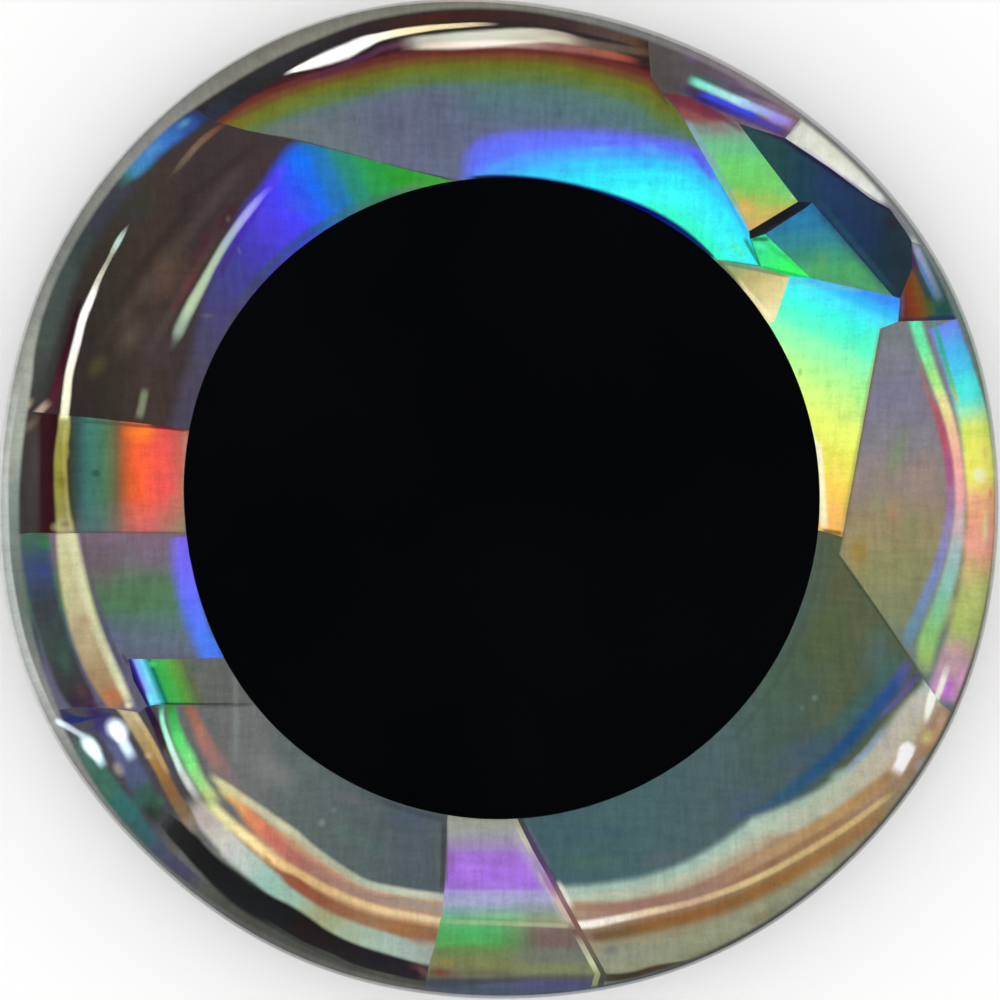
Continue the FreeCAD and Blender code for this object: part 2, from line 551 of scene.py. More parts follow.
        # the steep rim passes less light: the colour is painted brighter towards the rim to make up for that shade
        painted_rim_brightening = t.curve(self.share, 0.6, 1.0, [(0.6, 1.0), (0.84, 1.0), (0.90, 1.07), (0.94, 1.16), (0.97, 1.3), (1.0, 1.35)], 0.5, 1.5)
        shade = t.math("MULTIPLY", shade, painted_rim_brightening)
        grey = t.node("ShaderNodeCombineColor")
        for i in range(3):
            self.t.t.links.new(shade, grey.inputs[i])
        c = t.mix(1.0, self.colour, grey.outputs[0], "MULTIPLY")
        t.put(self.p.inputs["Base Color"], c)
        self.p.inputs["Metallic"].default_value = metal
        self.p.inputs["Specular IOR Level"].default_value = 0.0      # the resin wets it
        self.p.inputs["Roughness"].default_value = rough
        bump = t.node("ShaderNodeBump")
        bump.inputs["Strength"].default_value = 0.15
        bump.inputs["Distance"].default_value = 0.00001
        t.put(bump.inputs["Height"], n.outputs[1])
        t.put(self.p.inputs["Normal"], bump.outputs[0])
        return self.m


# angle, share of the radius where the painted reflection of the pale rim starts, and its colour
RIM = [(0, .993, 120, 120, 100), (10, .991, 110, 130, 110), (20, .982, 110, 130, 122), (30, .983, 125, 132, 130),
       (45, .981, 135, 135, 133), (60, .976, 142, 132, 138), (75, .975, 130, 130, 128), (90, .981, 140, 138, 126),
       (105, .978, 136, 134, 122), (120, .969, 134, 132, 122), (135, .978, 150, 150, 145), (150, .978, 138, 140, 134),
       (162, .970, 165, 168, 158), (172, .957, 172, 176, 166), (182, .960, 128, 140, 132), (192, .962, 105, 116, 110),
       (203, .968, 132, 134, 132), (214, .984, 150, 151, 148), (225, .989, 120, 126, 122), (240, .985, 96, 98, 95),
       (255, .985, 105, 105, 98), (270, .990, 80, 95, 112), (300, .992, 72, 72, 72), (330, .993, 92, 90, 84),
       (360, .993, 120, 120, 100)]


def gloss(x, y):
    """The lens's reflectance where the picture shows it at this pixel."""
    share = min(polar(x, y)[1], 0.995)
    c = math.cos(float(np.interp(np.interp(share, SEEN, PR[:len(SEEN)]), PR, PP)))
    s = math.sqrt(1 - (1 - c * c) / IOR ** 2)
    a, b = (c - IOR * s) / (c + IOR * s), (IOR * c - s) / (IOR * c + s)
    return 0.5 * (a * a + b * b)


class Lights(Field):
    """Light on the studio's shell, placed by where the lens mirrors it. Colours
    are what the mirrored light shows as."""

    def __init__(self, t):
        self.t = t
        self.start(MIRROR_G)

    def pick(self, c, x=None, y=None):
        k = 1 / gloss(x, y)
        return tuple(float(v * k) for v in srgb(*c)) + (1.0,)

    def over(self, colour, mask):
        """Adds up, as light does."""
        lit = self.t.node("ShaderNodeVectorMath", operation="SCALE")
        self.t.put(lit.inputs[0], colour if isinstance(colour, bpy.types.NodeSocket) else tuple(colour[:3]))
        self.t.put(lit.inputs[3], mask)
        if self.colour is None:
            self.colour = lit.outputs[0]
            return
        add = self.t.node("ShaderNodeVectorMath", operation="ADD")
        self.t.put(add.inputs[0], self.colour)
        self.t.put(add.inputs[1], lit.outputs[0])
        self.colour = add.outputs[0]


def studio(f):
    """Strip lights and panes that show as white streaks on the lens."""
    t = f.t
    # a faint grey wall low down, for the lens seen from the side
    f.colour = t.ramp(f.rho, 0.0, 1.0, [(0.0, (0.012, 0.012, 0.014, 1)), (0.80, (0.012, 0.012, 0.014, 1)),
                                        (0.93, (0.07, 0.07, 0.072, 1)), (1.0, (0.13, 0.13, 0.13, 1))])
    W = (255, 255, 250)
    # top left, white turning golden to the right
    f.stroke([(290, 72), (320, 61), (345, 52), (365, 43), (385, 36), (410, 31), (440, 27), (470, 25), (497, 24)],
             [2, 7, 9, 8, 5, 4.5, 3.5, 3, 2],
             [W, W, W, W, (255, 248, 225), (250, 230, 180), (235, 215, 165), (215, 195, 150), (150, 135, 110)], soft=0.55, ease=1.0)
    # pale pane along the top
    f.stroke([(412, 43), (430, 42), (470, 40), (500, 38), (530, 36), (560, 37), (585, 42)], [8, 9, 11, 11, 10, 8, 6],
             [(140, 140, 128), (185, 188, 172), (200, 204, 186), (200, 204, 186), (192, 192, 175), (165, 158, 142), (105, 95, 85)],
             soft=0.5, ease=1.5)
    # long thin line at the left
    f.stroke([(126, 228), (117, 243), (108, 260), (98, 280), (90, 300), (82, 320), (77, 340), (72, 360), (68, 380), (66, 400), (64, 419)],
             [1.5, 4, 3, 3.5, 5, 5.5, 5.5, 5.5, 5.5, 6, 6],
             [(120, 130, 128), (180, 210, 200), (150, 155, 130), (200, 200, 180), W, W, W, (252, 252, 235), (250, 250, 225), (248, 248, 218), (240, 240, 205)],
             soft=0.6, ease=0.6)
    # soft line inside it
    f.stroke([(264, 190), (245, 212), (228, 235), (213, 260), (200, 285), (187, 310), (178, 330), (172, 345)],
             [4, 6, 6, 6, 7, 8, 8, 5],
             [(110, 105, 140), (150, 155, 165), (155, 175, 165), (165, 190, 155), (170, 195, 160), (175, 200, 165), (140, 165, 145), (80, 90, 85)],
             soft=0.75, ease=2.0)
    f.stroke([(144, 393), (142, 405), (139, 419)], 6, (105, 120, 95), soft=0.8, ease=0.8)
    # two panes at the lower left
    f.blob(118, 731, 17, 13, 45, (225, 240, 250), 1.0, soft=0.7)
    f.line(115, 728, 132, 757, 8, (215, 238, 250), 1.0, soft=0.85)
    f.blob(92, 748, 19, 10, 52, (215, 240, 250), 1.0, soft=0.7)
    f.line(58, 721, 84, 737, 4.5, (200, 220, 228), 1.0, soft=0.85)
    f.line(90, 744, 103, 765, 7, (200, 230, 240), 1.0, soft=0.85)


def shards():
    """One material for each shard of the foil, its own rainbow in each, with painted reflected light, highlights and
    glints in some.
    """
    out = {}

    # grey silver under the print
    f = Field("plain")
    f.wash([(0, 96, 98, 98), (1000, 104, 106, 106)], x=1.0)
    out["plain"] = f.done(0.8, 0.4)

    # --- top: violet to cyan over the print, olive and red-brown towards the rim
    f = Field("top")
    red = [(200, 142), (240, 112), (270, 97), (300, 86), (350, 73), (400, 62), (450, 58), (500, 57), (550, 59), (600, 69), (640, 80), (665, 98)]
    f.rings(red, [(-150, 70, 100, 80), (-115, 98, 104, 118), (-80, 100, 106, 138), (-62, 94, 112, 132), (-46, 88, 118, 128), (-31, 88, 120, 112),
                  (-20, 96, 122, 66), (-9, 106, 112, 38), (-1, 112, 78, 42), (6, 104, 46, 42), (12, 62, 32, 34), (19, 46, 38, 40)])
    f.wash([(95, 96, 104, 128), (106, 100, 104, 128), (116, 104, 116, 122), (128, 108, 112, 96)],
           f.times(f.side([(p[0], p[1] + 30) for p in red[:8]], 22), f.fade_deg(90, 100)), deg=1.0)
    # grass green where the shard narrows to the left
    f.stroke([(215, 128), (240, 122), (270, 112), (300, 103), (340, 96)], 8, [(108, 82, 42), (112, 108, 38), (110, 120, 42), (104, 122, 56), (98, 122, 76)],
             soft=0.9, amount=0.8)
    f.blob(300, 128, 42, 7, 8, (118, 118, 112), 0.55)
    vio = [(452, 172), (462, 152), (480, 139), (500, 134), (550, 130), (600, 131), (650, 137), (680, 142), (708, 154), (738, 182), (772, 232)]
    k = f.t.math("MULTIPLY_ADD", f.X, 1 / 250, 1 - 600 / 250)
    zone = f.times(f.side(vio, 13), f.t.smooth(f.X, 452, 478))
    f.rings(vio, [(-150, 60, 240, 150), (-118, 60, 248, 160), (-96, 60, 250, 200), (-70, 62, 245, 244), (-50, 52, 232, 252),
                  (-34, 58, 200, 255), (-22, 76, 158, 255), (-11, 98, 118, 252), (0, 104, 108, 232)], zone, scale=k)
    f.blob(600, 150, 14, 8, 0, (96, 170, 255), 0.5)
    f.blob(650, 150, 16, 9, 20, (92, 185, 255), 0.5)
    f.blob(645, 166, 12, 6, 0, (40, 165, 250), 0.5)
    f.blob(560, 168, 26, 6, 4, (70, 175, 255), 0.45)
    f.line(690, 150, 712, 178, 6, (92, 92, 238), 0.7, soft=0.9)
    f.line(722, 188, 744, 230, 3, (50, 150, 215), 0.4, soft=0.9)
    f.blob(738, 250, 24, 12, 48, (84, 250, 190), 0.6)
    # where the printing ink runs out over the foil
    f.stroke([(470, 180), (500, 180), (560, 187), (600, 197), (640, 211), (678, 232), (714, 262)], [5, 7, 8, 8.5, 8.5, 8, 5],
             [(40, 44, 50), (26, 22, 70), (22, 16, 104), (18, 12, 104), (16, 10, 112), (16, 34, 110), (24, 50, 90)], soft=0.55)
    f.line(745, 240, 760, 266, 2.5, (30, 140, 90), 0.8, soft=0.6)
    f.line(722, 262, 760, 268, 3, (20, 110, 80), 0.8, soft=0.8)
    f.line(655, 85, 668, 104, 5, (80, 66, 60), 0.6, soft=0.9)
    f.line(664, 98, 682, 120, 3, (88, 118, 80), 0.5, soft=0.9)
    f.stroke([(212, 126), (240, 133), (280, 137), (340, 152), (400, 169), (450, 181)], 3.2, [(90, 60, 44), (62, 52, 44), (70, 68, 60), (56, 70, 64), (46, 82, 54), (40, 60, 44)],
             soft=0.7, amount=0.85)
    # the rim's outer side
    f.stroke([(205, 118), (240, 90), (280, 64), (320, 45), (360, 30), (400, 20)], [10, 13, 13, 10, 8, 6],
             [(40, 50, 66), (42, 42, 46), (44, 42, 46), (42, 38, 42), (44, 32, 36), (52, 34, 30)], soft=0.5)
    f.stroke([(395, 23), (430, 18), (470, 16), (520, 18), (560, 25), (600, 34), (640, 45)], [5, 5.5, 6, 6, 6, 6, 6],
             [(60, 34, 28), (66, 30, 22), (62, 30, 26), (56, 38, 36), (60, 42, 40), (84, 66, 60), (96, 66, 46)], soft=0.5)
    f.stroke([(420, 47), (470, 45), (520, 45), (560, 48), (600, 54), (632, 62)], [5, 6, 6, 7, 7, 5],
             [(150, 110, 100), (182, 150, 148), (178, 150, 146), (160, 105, 100), (166, 96, 82), (160, 76, 58)], soft=0.8, amount=0.9)
    f.stroke([(300, 78), (330, 70), (360, 58), (385, 47), (410, 42)], 4.5, [(96, 46, 56), (84, 44, 74), (82, 44, 78), (90, 52, 80), (110, 70, 84)], soft=0.8, amount=0.9)
    f.stroke([(540, 40), (580, 44), (620, 50), (650, 55)], 6, [(146, 136, 120), (116, 106, 92), (98, 86, 72), (100, 72, 52)], soft=0.8, amount=0.9)
    out["top"] = f.done()

    # --- upper left: dark, with a rainbow along the print
    f = Field("upper_left")
    f.wash([(60, 52, 44, 42), (110, 56, 50, 44), (150, 66, 55, 50), (200, 62, 53, 52), (250, 64, 54, 56)], x=1.0)
    f.blob(165, 275, 42, 26, -60, (92, 72, 62), 0.8)
    f.blob(130, 335, 34, 18, -60, (88, 78, 68), 0.75)
    f.blob(98, 365, 20, 12, -60, (82, 78, 52), 0.8)
    f.blob(140, 205, 40, 22, -45, (54, 58, 52), 0.8)
    f.blob(150, 350, 60, 22, -70, (66, 58, 60), 0.6)
    f.blob(185, 370, 26, 40, 10, (58, 54, 58), 0.6)
    f.line(112, 330, 236, 172, 10, (88, 76, 70), 0.4, soft=0.9)
    f.line(150, 348, 214, 238, 7, (86, 78, 74), 0.4, soft=0.9)
    f.line(122, 292, 192, 200, 8, (48, 42, 40), 0.55, soft=0.9)
    f.line(176, 206, 246, 152, 7, (50, 42, 40), 0.5, soft=0.9)
    f.blob(205, 245, 12, 40, 35, (84, 40, 48), 0.55)
    f.blob(190, 280, 9, 20, 30, (120, 50, 46), 0.45)
    f.blob(228, 215, 8, 22, 35, (72, 26, 46), 0.6)
    f.blob(178, 300, 5, 22, 30, (104, 44, 48), 0.5)
    edge = [(310, 138), (292, 146), (276, 164), (262, 186), (246, 206), (230, 236), (215, 268), (203, 300), (196, 330), (190, 365)]
    f.wash([(96, 70, 140, 66), (101, 62, 156, 58), (106, 50, 158, 56), (111.5, 46, 150, 76), (115, 44, 136, 118), (118, 38, 116, 186), (121, 34, 106, 240),
            (123, 46, 88, 240), (126, 70, 66, 236), (130, 76, 64, 214), (134, 70, 62, 180), (139, 66, 66, 142), (145, 70, 68, 118), (151, 74, 71, 102), (158, 75, 70, 85)],
           f.side(edge, 16), deg=1.0)
    f.stroke([(282, 168), (266, 192), (250, 218), (234, 246), (220, 276)], [9, 8, 7, 6, 5], [(92, 70, 240), (78, 52, 220), (70, 46, 182), (70, 46, 140), (70, 48, 108)], soft=0.9, amount=0.7)
    f.stroke([(420, 186), (380, 200), (340, 216), (300, 240), (268, 268), (244, 300), (226, 336), (210, 375), (202, 410)], 9,
             [(96, 130, 100), (70, 120, 100), (56, 110, 110), (50, 76, 130), (62, 76, 106), (70, 73, 96), (74, 74, 88), (72, 72, 80), (72, 72, 78)], soft=0.95, amount=0.8)
    f.blob(300, 205, 26, 12, 0, (62, 96, 235), 0.6)
    f.blob(334, 196, 18, 26, 0, (44, 112, 172), 0.65)
    f.blob(304, 160, 14, 14, 0, (24, 118, 255), 0.75)
    f.blob(398, 178, 34, 9, 12, (46, 150, 44), 0.7)
    # along the rim
    f.stroke([(215, 105), (190, 122), (165, 142), (140, 165), (118, 190), (98, 215), (80, 245), (62, 285), (48, 330), (36, 380), (30, 410)],
             [12, 14, 15, 16, 18, 18, 17, 17, 18, 16, 14],
             [(44, 52, 70), (44, 52, 62), (50, 58, 60), (52, 60, 58), (58, 60, 68), (56, 58, 66), (56, 66, 64), (70, 80, 76), (72, 80, 76), (62, 66, 62), (58, 56, 52)], soft=0.7)
    f.stroke([(80, 300), (72, 330), (64, 360), (56, 390), (50, 412)], [4, 5, 6, 7, 7], [(44, 22, 30), (48, 20, 30), (62, 20, 34), (82, 30, 48), (78, 40, 52)], soft=0.8)
    f.stroke([(123, 178), (135, 166), (150, 150), (168, 135), (186, 123), (204, 113)], [9, 13, 14, 14, 13, 9],
             [(58, 118, 110), (64, 132, 180), (66, 130, 200), (58, 112, 188), (48, 84, 158), (40, 56, 110)], soft=0.7)
    f.blob(183, 122, 12, 6, -35, (86, 150, 178), 0.8)
    f.blob(152, 148, 16, 7, -45, (92, 152, 216), 0.7)
    f.stroke([(222, 124), (208, 134), (195, 146), (183, 160), (172, 173)], [3.5, 5, 5, 5, 3], [(120, 66, 52), (128, 88, 70), (120, 98, 80), (104, 92, 74), (80, 76, 62)], soft=0.8)
    f.stroke([(60, 340), (48, 385), (38, 412)], 5, (58, 60, 58), soft=0.8, amount=0.5)
    f.line(14, 436, 48, 402, 6, (178, 158, 138), 0.9, soft=0.8)
    f.blob(28, 404, 12, 6, -50, (176, 156, 132), 0.8)
    f.blob(228, 218, 4, 6, 0, (108, 108, 100), 0.5)
    f.blob(207, 315, 10, 4, 0, (96, 94, 104), 0.7)
    f.blob(239, 250, 3, 7, -20, (110, 96, 180), 0.7)
    out["upper_left"] = f.done()

    # --- left: a red-orange bar over teal, and gold that is a painted highlight ring by the rim
    f = Field("left")
    f.wash([(15, 62, 60, 56), (24, 60, 56, 54), (36, 66, 60, 56), (42, 54, 24, 28), (56, 50, 14, 22), (68, 60, 50, 50), (74, 60, 76, 66),
            (78, 56, 84, 84), (88, 66, 122, 112), (100, 76, 120, 96), (108, 92, 120, 82), (116, 112, 98, 68), (123, 168, 92, 54), (131, 226, 96, 52), (142, 246, 98, 60),
            (156, 240, 90, 80), (170, 222, 88, 84), (182, 196, 104, 92)], how="LINEAR", x=1.0)
    low = f.t.smooth(f.Y, 488, 534)
    f.wash([(74, 90, 82, 84), (86, 76, 112, 110), (100, 88, 108, 112), (116, 118, 104, 100), (130, 176, 108, 102), (150, 196, 108, 104), (165, 158, 122, 108), (182, 128, 128, 104)],
           f.times(f.times(low, 0.85), f.t.smooth(f.X, 72, 78)), x=1.0)
    # painted highlight: the gold-cream ring of reflected light by the rim, with a paler line in it
    f.stroke([(65, 413), (64, 430), (61, 455), (61, 482), (63, 510), (66, 534)], [7.5, 8, 8.5, 9, 10, 12],
             [(186, 182, 120), (160, 156, 84), (154, 148, 66), (150, 144, 64), (152, 146, 78), (190, 182, 132)], soft=0.5, ease=1.0)
    f.stroke([(66, 424), (64, 450), (66, 490), (70, 528)], 3, [(188, 182, 112), (182, 176, 96), (176, 170, 100), (200, 194, 150)], soft=0.9, amount=0.6)
    f.blob(142, 432, 24, 16, 0, (255, 132, 46), 0.85)
    f.blob(150, 462, 26, 22, 0, (250, 96, 62), 0.6)
    f.blob(96, 426, 14, 9, 0, (70, 130, 116), 0.8)
    f.blob(62, 482, 9, 14, 0, (112, 100, 42), 0.5)
    f.blob(66, 452, 6, 10, 0, (170, 166, 70), 0.6)
    f.blob(56, 528, 8, 7, 0, (190, 180, 130), 0.6)
    f.blob(66, 525, 8, 6, 0, (120, 100, 72), 0.6)
    f.blob(172, 500, 7, 9, 0, (176, 120, 100), 0.6)
    f.blob(34, 470, 9, 60, 4, (70, 66, 62), 0.6)
    f.blob(30, 425, 18, 7, -45, (120, 108, 92), 0.6)
    f.line(186, 432, 182, 530, 4, (160, 132, 112), 0.55, soft=0.8)
    f.line(76, 420, 186, 429, 2.8, ((58, 96, 84), (120, 40, 44)), 0.75, soft=0.8)
    f.line(150, 424, 187, 429, 4, (92, 14, 28), 0.8, soft=0.8)
    f.line(76, 533, 186, 534, 3, (92, 78, 84), 0.7, soft=0.8)
    out["left"] = f.done()

    # --- lower left, upper one
    f = Field("low_left_one")
    f.wash([(534, 122, 102, 120), (560, 112, 104, 112), (585, 86, 116, 88), (605, 82, 116, 90), (625, 88, 112, 112), (645, 98, 108, 124), (660, 96, 96, 116)], y=1.0)
    f.blob(100, 565, 26, 40, -15, (108, 92, 98), 0.7)
    f.blob(140, 600, 40, 26, 0, (82, 120, 88), 0.5)
    f.blob(118, 635, 24, 12, 40, (92, 96, 130), 0.6)
    f.blob(150, 552, 20, 14, 0, (132, 106, 128), 0.5)
    f.stroke([(192, 536), (192, 560), (196, 590), (202, 615), (212, 640), (221, 660)], [28, 28, 26, 26, 26, 26],
             [(124, 106, 236), (118, 106, 244), (104, 110, 250), (90, 118, 245), (78, 124, 238), (72, 118, 228)], soft=0.65, first=0.2, last=0.3)
    f.stroke([(192, 540), (196, 575), (203, 608), (214, 640)], 4, (74, 100, 160), soft=0.9, amount=0.5)
    # painted highlight ring of reflected light: a gold line, then a tan one
    f.stroke([(66, 534), (68, 560), (75, 600), (86, 640), (101, 675), (119, 706)], [12.5, 13, 15, 16, 15.5, 13],
             [(204, 202, 160), (202, 198, 150), (196, 188, 146), (182, 164, 128), (172, 146, 108), (180, 122, 82)], soft=0.45, first=0.2)
    f.stroke([(71, 534), (78, 565), (87, 600), (99, 635), (113, 668), (129, 702)], [9, 9, 8, 8, 8, 7],
             [(214, 212, 172), (214, 214, 170), (212, 212, 168), (208, 206, 166), (208, 210, 174), (224, 222, 186)], soft=0.9, first=0.2)
    f.blob(85, 622, 10, 12, 0, (172, 148, 116), 0.7)
    f.blob(112, 695, 16, 11, 30, (184, 116, 74), 0.8)
    f.blob(92, 672, 10, 16, -25, (156, 126, 96), 0.5)
    f.blob(128, 705, 6, 5, 0, (236, 234, 206), 0.9)
    f.stroke([(83, 534), (89, 570), (98, 605), (110, 640), (124, 670)], 4, [(100, 84, 90), (104, 92, 98), (96, 92, 108), (86, 80, 106), (78, 68, 92)], soft=0.8, amount=0.8)
    # outside them
    f.stroke([(34, 534), (38, 570), (46, 610), (58, 650), (72, 685), (86, 708)], [19, 18, 18, 18, 18, 14],
             [(66, 104, 84), (60, 74, 108), (62, 68, 72), (60, 74, 70), (58, 58, 60), (52, 34, 62)], soft=0.4, first=0.2)
    f.blob(45, 545, 12, 7, 20, (50, 118, 66), 0.8)
    f.blob(43, 572, 12, 9, 40, (54, 70, 124), 0.8)
    f.blob(64, 662, 9, 18, -20, (58, 92, 80), 0.8)
    f.blob(36, 640, 5, 40, -14, (42, 44, 46), 0.7)
    f.blob(82, 693, 10, 14, -30, (96, 62, 60), 0.6)
    f.blob(90, 706, 16, 7, 0, (70, 26, 66), 0.8)
    f.line(128, 661, 222, 659, 2.4, (84, 84, 92), 0.6, soft=0.8)
    f.line(122, 655, 128, 664, 3, (70, 56, 76), 0.7, soft=0.9)
    out["low_left_one"] = f.done()

    # --- the small wedge, pale blue to green
    f = Field("wedge")
    f.wash([(0, 44, 28, 104), (3, 58, 48, 150), (6, 132, 168, 255), (13, 118, 218, 255), (17, 60, 170, 170), (21, 16, 108, 92), (25, 56, 170, 84), (34, 72, 172, 74), (44, 96, 150, 66),
            (54, 96, 108, 76), (64, 98, 102, 98), (140, 104, 107, 106)], how="LINEAR", x=1.0, y=-0.40, c=136)
    f.blob(151, 700, 6, 12, -20, (104, 250, 250), 0.85)
    f.blob(152, 664, 7, 5, 20, (88, 200, 120), 0.7)
    f.line(160, 704, 250, 704.5, 2.6, ((12, 60, 30), (76, 80, 80)), 0.85, soft=0.6)
    f.line(236, 670, 236, 704, 5, (126, 130, 130), 0.5, soft=0.9)
    f.line(124, 662, 148, 706, 3.4, (40, 24, 96), 0.9, soft=0.6)
    out["wedge"] = f.done()

    # --- lower left, lower one: grey, with the arc round it of rainbow colours and painted reflected light
    f = Field("low_left_two")
    f.wash([(200, 102, 104, 104), (250, 108, 110, 110), (300, 92, 102, 102), (370, 86, 96, 98), (420, 80, 92, 98), (450, 86, 92, 94)], x=1.0)
    f.blob(270, 770, 46, 22, 30, (124, 126, 124), 0.7)
    f.blob(360, 840, 50, 14, 20, (84, 108, 100), 0.6)
    f.blob(410, 822, 36, 12, 10, (76, 88, 106), 0.6)
    f.blob(350, 800, 50, 10, 25, (102, 100, 104), 0.5)
    f.blob(322, 823, 6, 6, 0, (128, 150, 142), 0.7)
    f.blob(334, 810, 6, 4, 0, (118, 124, 122), 0.6)
    f.line(236, 705, 236, 762, 5, (128, 136, 134), 0.55, soft=0.9)
    f.line(200, 706, 250, 705, 3, (82, 84, 84), 0.5, soft=0.8)
    strip = [(150, 690), (158, 712), (163, 730), (170, 748), (180, 768), (190, 786), (200, 800), (214, 818)]
    f.over(paint(76, 74, 82), f.times(f.side(strip, 8, outside=True), f.t.smooth(f.deg, 229, 223)))
    # green strip and its warm inner side
    f.stroke([(186, 700), (195, 720), (205, 742), (217, 762), (230, 778), (246, 792)], [8, 10, 12, 13, 12, 8],
             [(140, 96, 76), (158, 110, 92), (164, 116, 106), (146, 112, 108), (124, 112, 114), (112, 110, 112)], soft=0.85)
    f.stroke([(170, 702), (173, 720), (179, 740), (189, 760), (199, 780), (214, 800)], [9, 9, 10, 11, 10, 9],
             [(60, 130, 66), (66, 176, 92), (92, 214, 110), (128, 230, 134), (160, 224, 142), (206, 214, 140)], soft=0.8, first=0.3)
    f.stroke([(161, 702), (162, 720), (168, 740), (176, 760), (186, 780), (198, 798)], [5, 4, 4.5, 5, 6, 6],
             [(30, 120, 90), (150, 246, 204), (190, 250, 222), (206, 238, 222), (206, 214, 208), (196, 196, 182)], soft=0.8, first=0.3)
    # the arc, rainbow colours with painted reflected light in its pale and gold lines: pale line, orange to pink,
    # gold, red-brown, pale green
    arc = [(200, 782), (230, 790), (256, 807), (286, 828), (314, 850), (340, 868), (369, 884), (400, 891), (446, 897)]
    f.rings(arc, [(-7, 128, 134, 124), (0, 188, 184, 154), (9, 196, 150, 118), (20, 180, 136, 110), (29, 206, 170, 128), (40, 152, 104, 78), (51, 156, 158, 140), (58, 148, 158, 148), (66, 60, 62, 60), (88, 76, 78, 70)],
            f.times(f.side(arc, 10, outside=True), f.fade_deg(229, 236)))
    f.stroke([(194, 803), (208, 821), (224, 838), (232, 848), (248, 862), (268, 880), (290, 898), (320, 918), (350, 930), (385, 942), (420, 954), (440, 958)], [9, 14, 15, 15, 15, 14, 14, 15, 15, 14, 12, 10],
             [(180, 172, 164), (196, 188, 182), (206, 204, 192), (204, 204, 198), (186, 200, 190), (152, 192, 178), (160, 192, 174), (166, 168, 128), (160, 176, 150), (160, 184, 170), (158, 172, 162), (150, 152, 150)], soft=0.5)
    f.stroke([(285, 876), (310, 893), (340, 909), (370, 920), (400, 927), (440, 933)], [8, 10, 11, 11, 11, 10],
             [(150, 92, 66), (146, 88, 66), (148, 100, 72), (150, 112, 84), (160, 112, 74), (142, 106, 78)], soft=0.75, first=1.0)
    f.stroke([(222, 787), (238, 800), (252, 818), (274, 839), (292, 856), (325, 877), (369, 897), (414, 904), (446, 909)], [9, 11, 12, 12, 12, 12, 10, 9, 8],
             [(218, 208, 132), (228, 172, 106), (222, 140, 98), (202, 114, 98), (178, 112, 102), (164, 124, 112), (162, 132, 118), (164, 146, 132), (166, 150, 136)], soft=0.85)
    f.stroke([(208, 802), (224, 818), (250, 840), (275, 861), (300, 874), (330, 890), (369, 906), (414, 916), (446, 921)], [9, 9, 8, 7.5, 6.5, 6, 6, 6, 5],
             [(206, 220, 150), (238, 230, 168), (250, 228, 168), (242, 206, 146), (226, 184, 128), (218, 186, 132), (226, 196, 146), (232, 206, 160), (224, 206, 170)], soft=0.9)
    f.stroke([(214, 778), (236, 794), (262, 811), (290, 830), (312, 848), (340, 868), (369, 884), (400, 891), (446, 897)], [6, 7, 7, 6.5, 6, 6, 6, 6.5, 6],
             [(206, 210, 154), (206, 198, 156), (200, 198, 168), (200, 198, 166), (182, 182, 154), (168, 172, 148), (174, 184, 164), (192, 198, 176), (196, 192, 180)], soft=0.9)
    f.blob(268, 860, 10, 4.5, 45, (160, 126, 70), 0.7)
    f.blob(300, 882, 16, 4, 38, (146, 76, 50), 0.7)
    # painted dark reflection: a black strip by the rim
    f.stroke([(166, 820), (187, 841), (204, 860), (225, 880), (252, 901), (283, 917), (302, 928), (325, 942), (369, 960), (414, 971), (428, 975)], [9, 13, 13, 15, 16, 17, 16, 14, 12.5, 10, 8],
             [(40, 42, 40), (30, 30, 30), (26, 26, 26), (24, 26, 27), (24, 27, 28), (26, 28, 29), (32, 24, 24), (30, 26, 28), (32, 28, 34), (34, 28, 36), (60, 46, 52)], soft=0.35)
    f.stroke([(268, 922), (300, 942), (330, 955), (360, 968), (400, 978)], 3, [(52, 58, 58), (62, 64, 62), (70, 72, 66), (74, 76, 68), (86, 88, 78)], soft=0.8, amount=0.9)
    # brown stroke on the left, and the cool colours outside it
    f.stroke([(76, 742), (100, 782), (118, 806), (140, 832), (165, 858), (195, 884)], [17, 17, 17, 15, 12, 10],
             [(86, 120, 110), (60, 106, 90), (52, 108, 104), (54, 96, 98), (76, 76, 102), (70, 70, 88)], soft=0.4, first=2)
    f.stroke([(100, 716), (118, 745), (132, 770), (146, 796), (160, 816)], [13, 14, 14, 13, 9], [(60, 50, 110), (96, 100, 140), (84, 92, 124), (62, 96, 86), (56, 66, 56)], soft=0.5)
    f.blob(132, 806, 15, 16, 40, (50, 112, 106), 0.7)
    f.blob(150, 812, 10, 16, -40, (40, 62, 46), 0.75)
    f.blob(160, 800, 7, 12, -30, (66, 112, 84), 0.7)
    f.blob(106, 790, 16, 6, 50, (76, 124, 92), 0.7)
    f.blob(170, 845, 24, 7, 42, (92, 84, 70), 0.4)
    f.blob(185, 832, 14, 8, 45, (34, 34, 32), 0.8)
    f.blob(118, 768, 8, 12, -30, (166, 156, 154), 0.8)
    f.blob(140, 775, 10, 14, -30, (86, 96, 132), 0.7)
    # painted reflected light: the tan to cream ring carries on here, with a paler line in it
    f.stroke([(118, 704), (128, 714), (139, 732), (151, 752), (161, 771), (171, 791), (183, 811), (194, 827)], [7, 8.5, 8.5, 8.5, 8, 8.5, 9, 8],
             [(196, 168, 138), (196, 180, 140), (180, 158, 110), (176, 144, 92), (158, 118, 66), (140, 102, 62), (128, 106, 76), (150, 138, 118)], soft=0.55)
    f.stroke([(134, 712), (145, 730), (156, 750), (166, 770)], 4, [(210, 202, 164), (196, 172, 124), (186, 156, 104), (192, 160, 108)], soft=0.8)
    f.blob(208, 820, 13, 20, -45, (178, 168, 160), 0.85)
    f.blob(148, 755, 6, 5, 0, (206, 180, 140), 0.7)
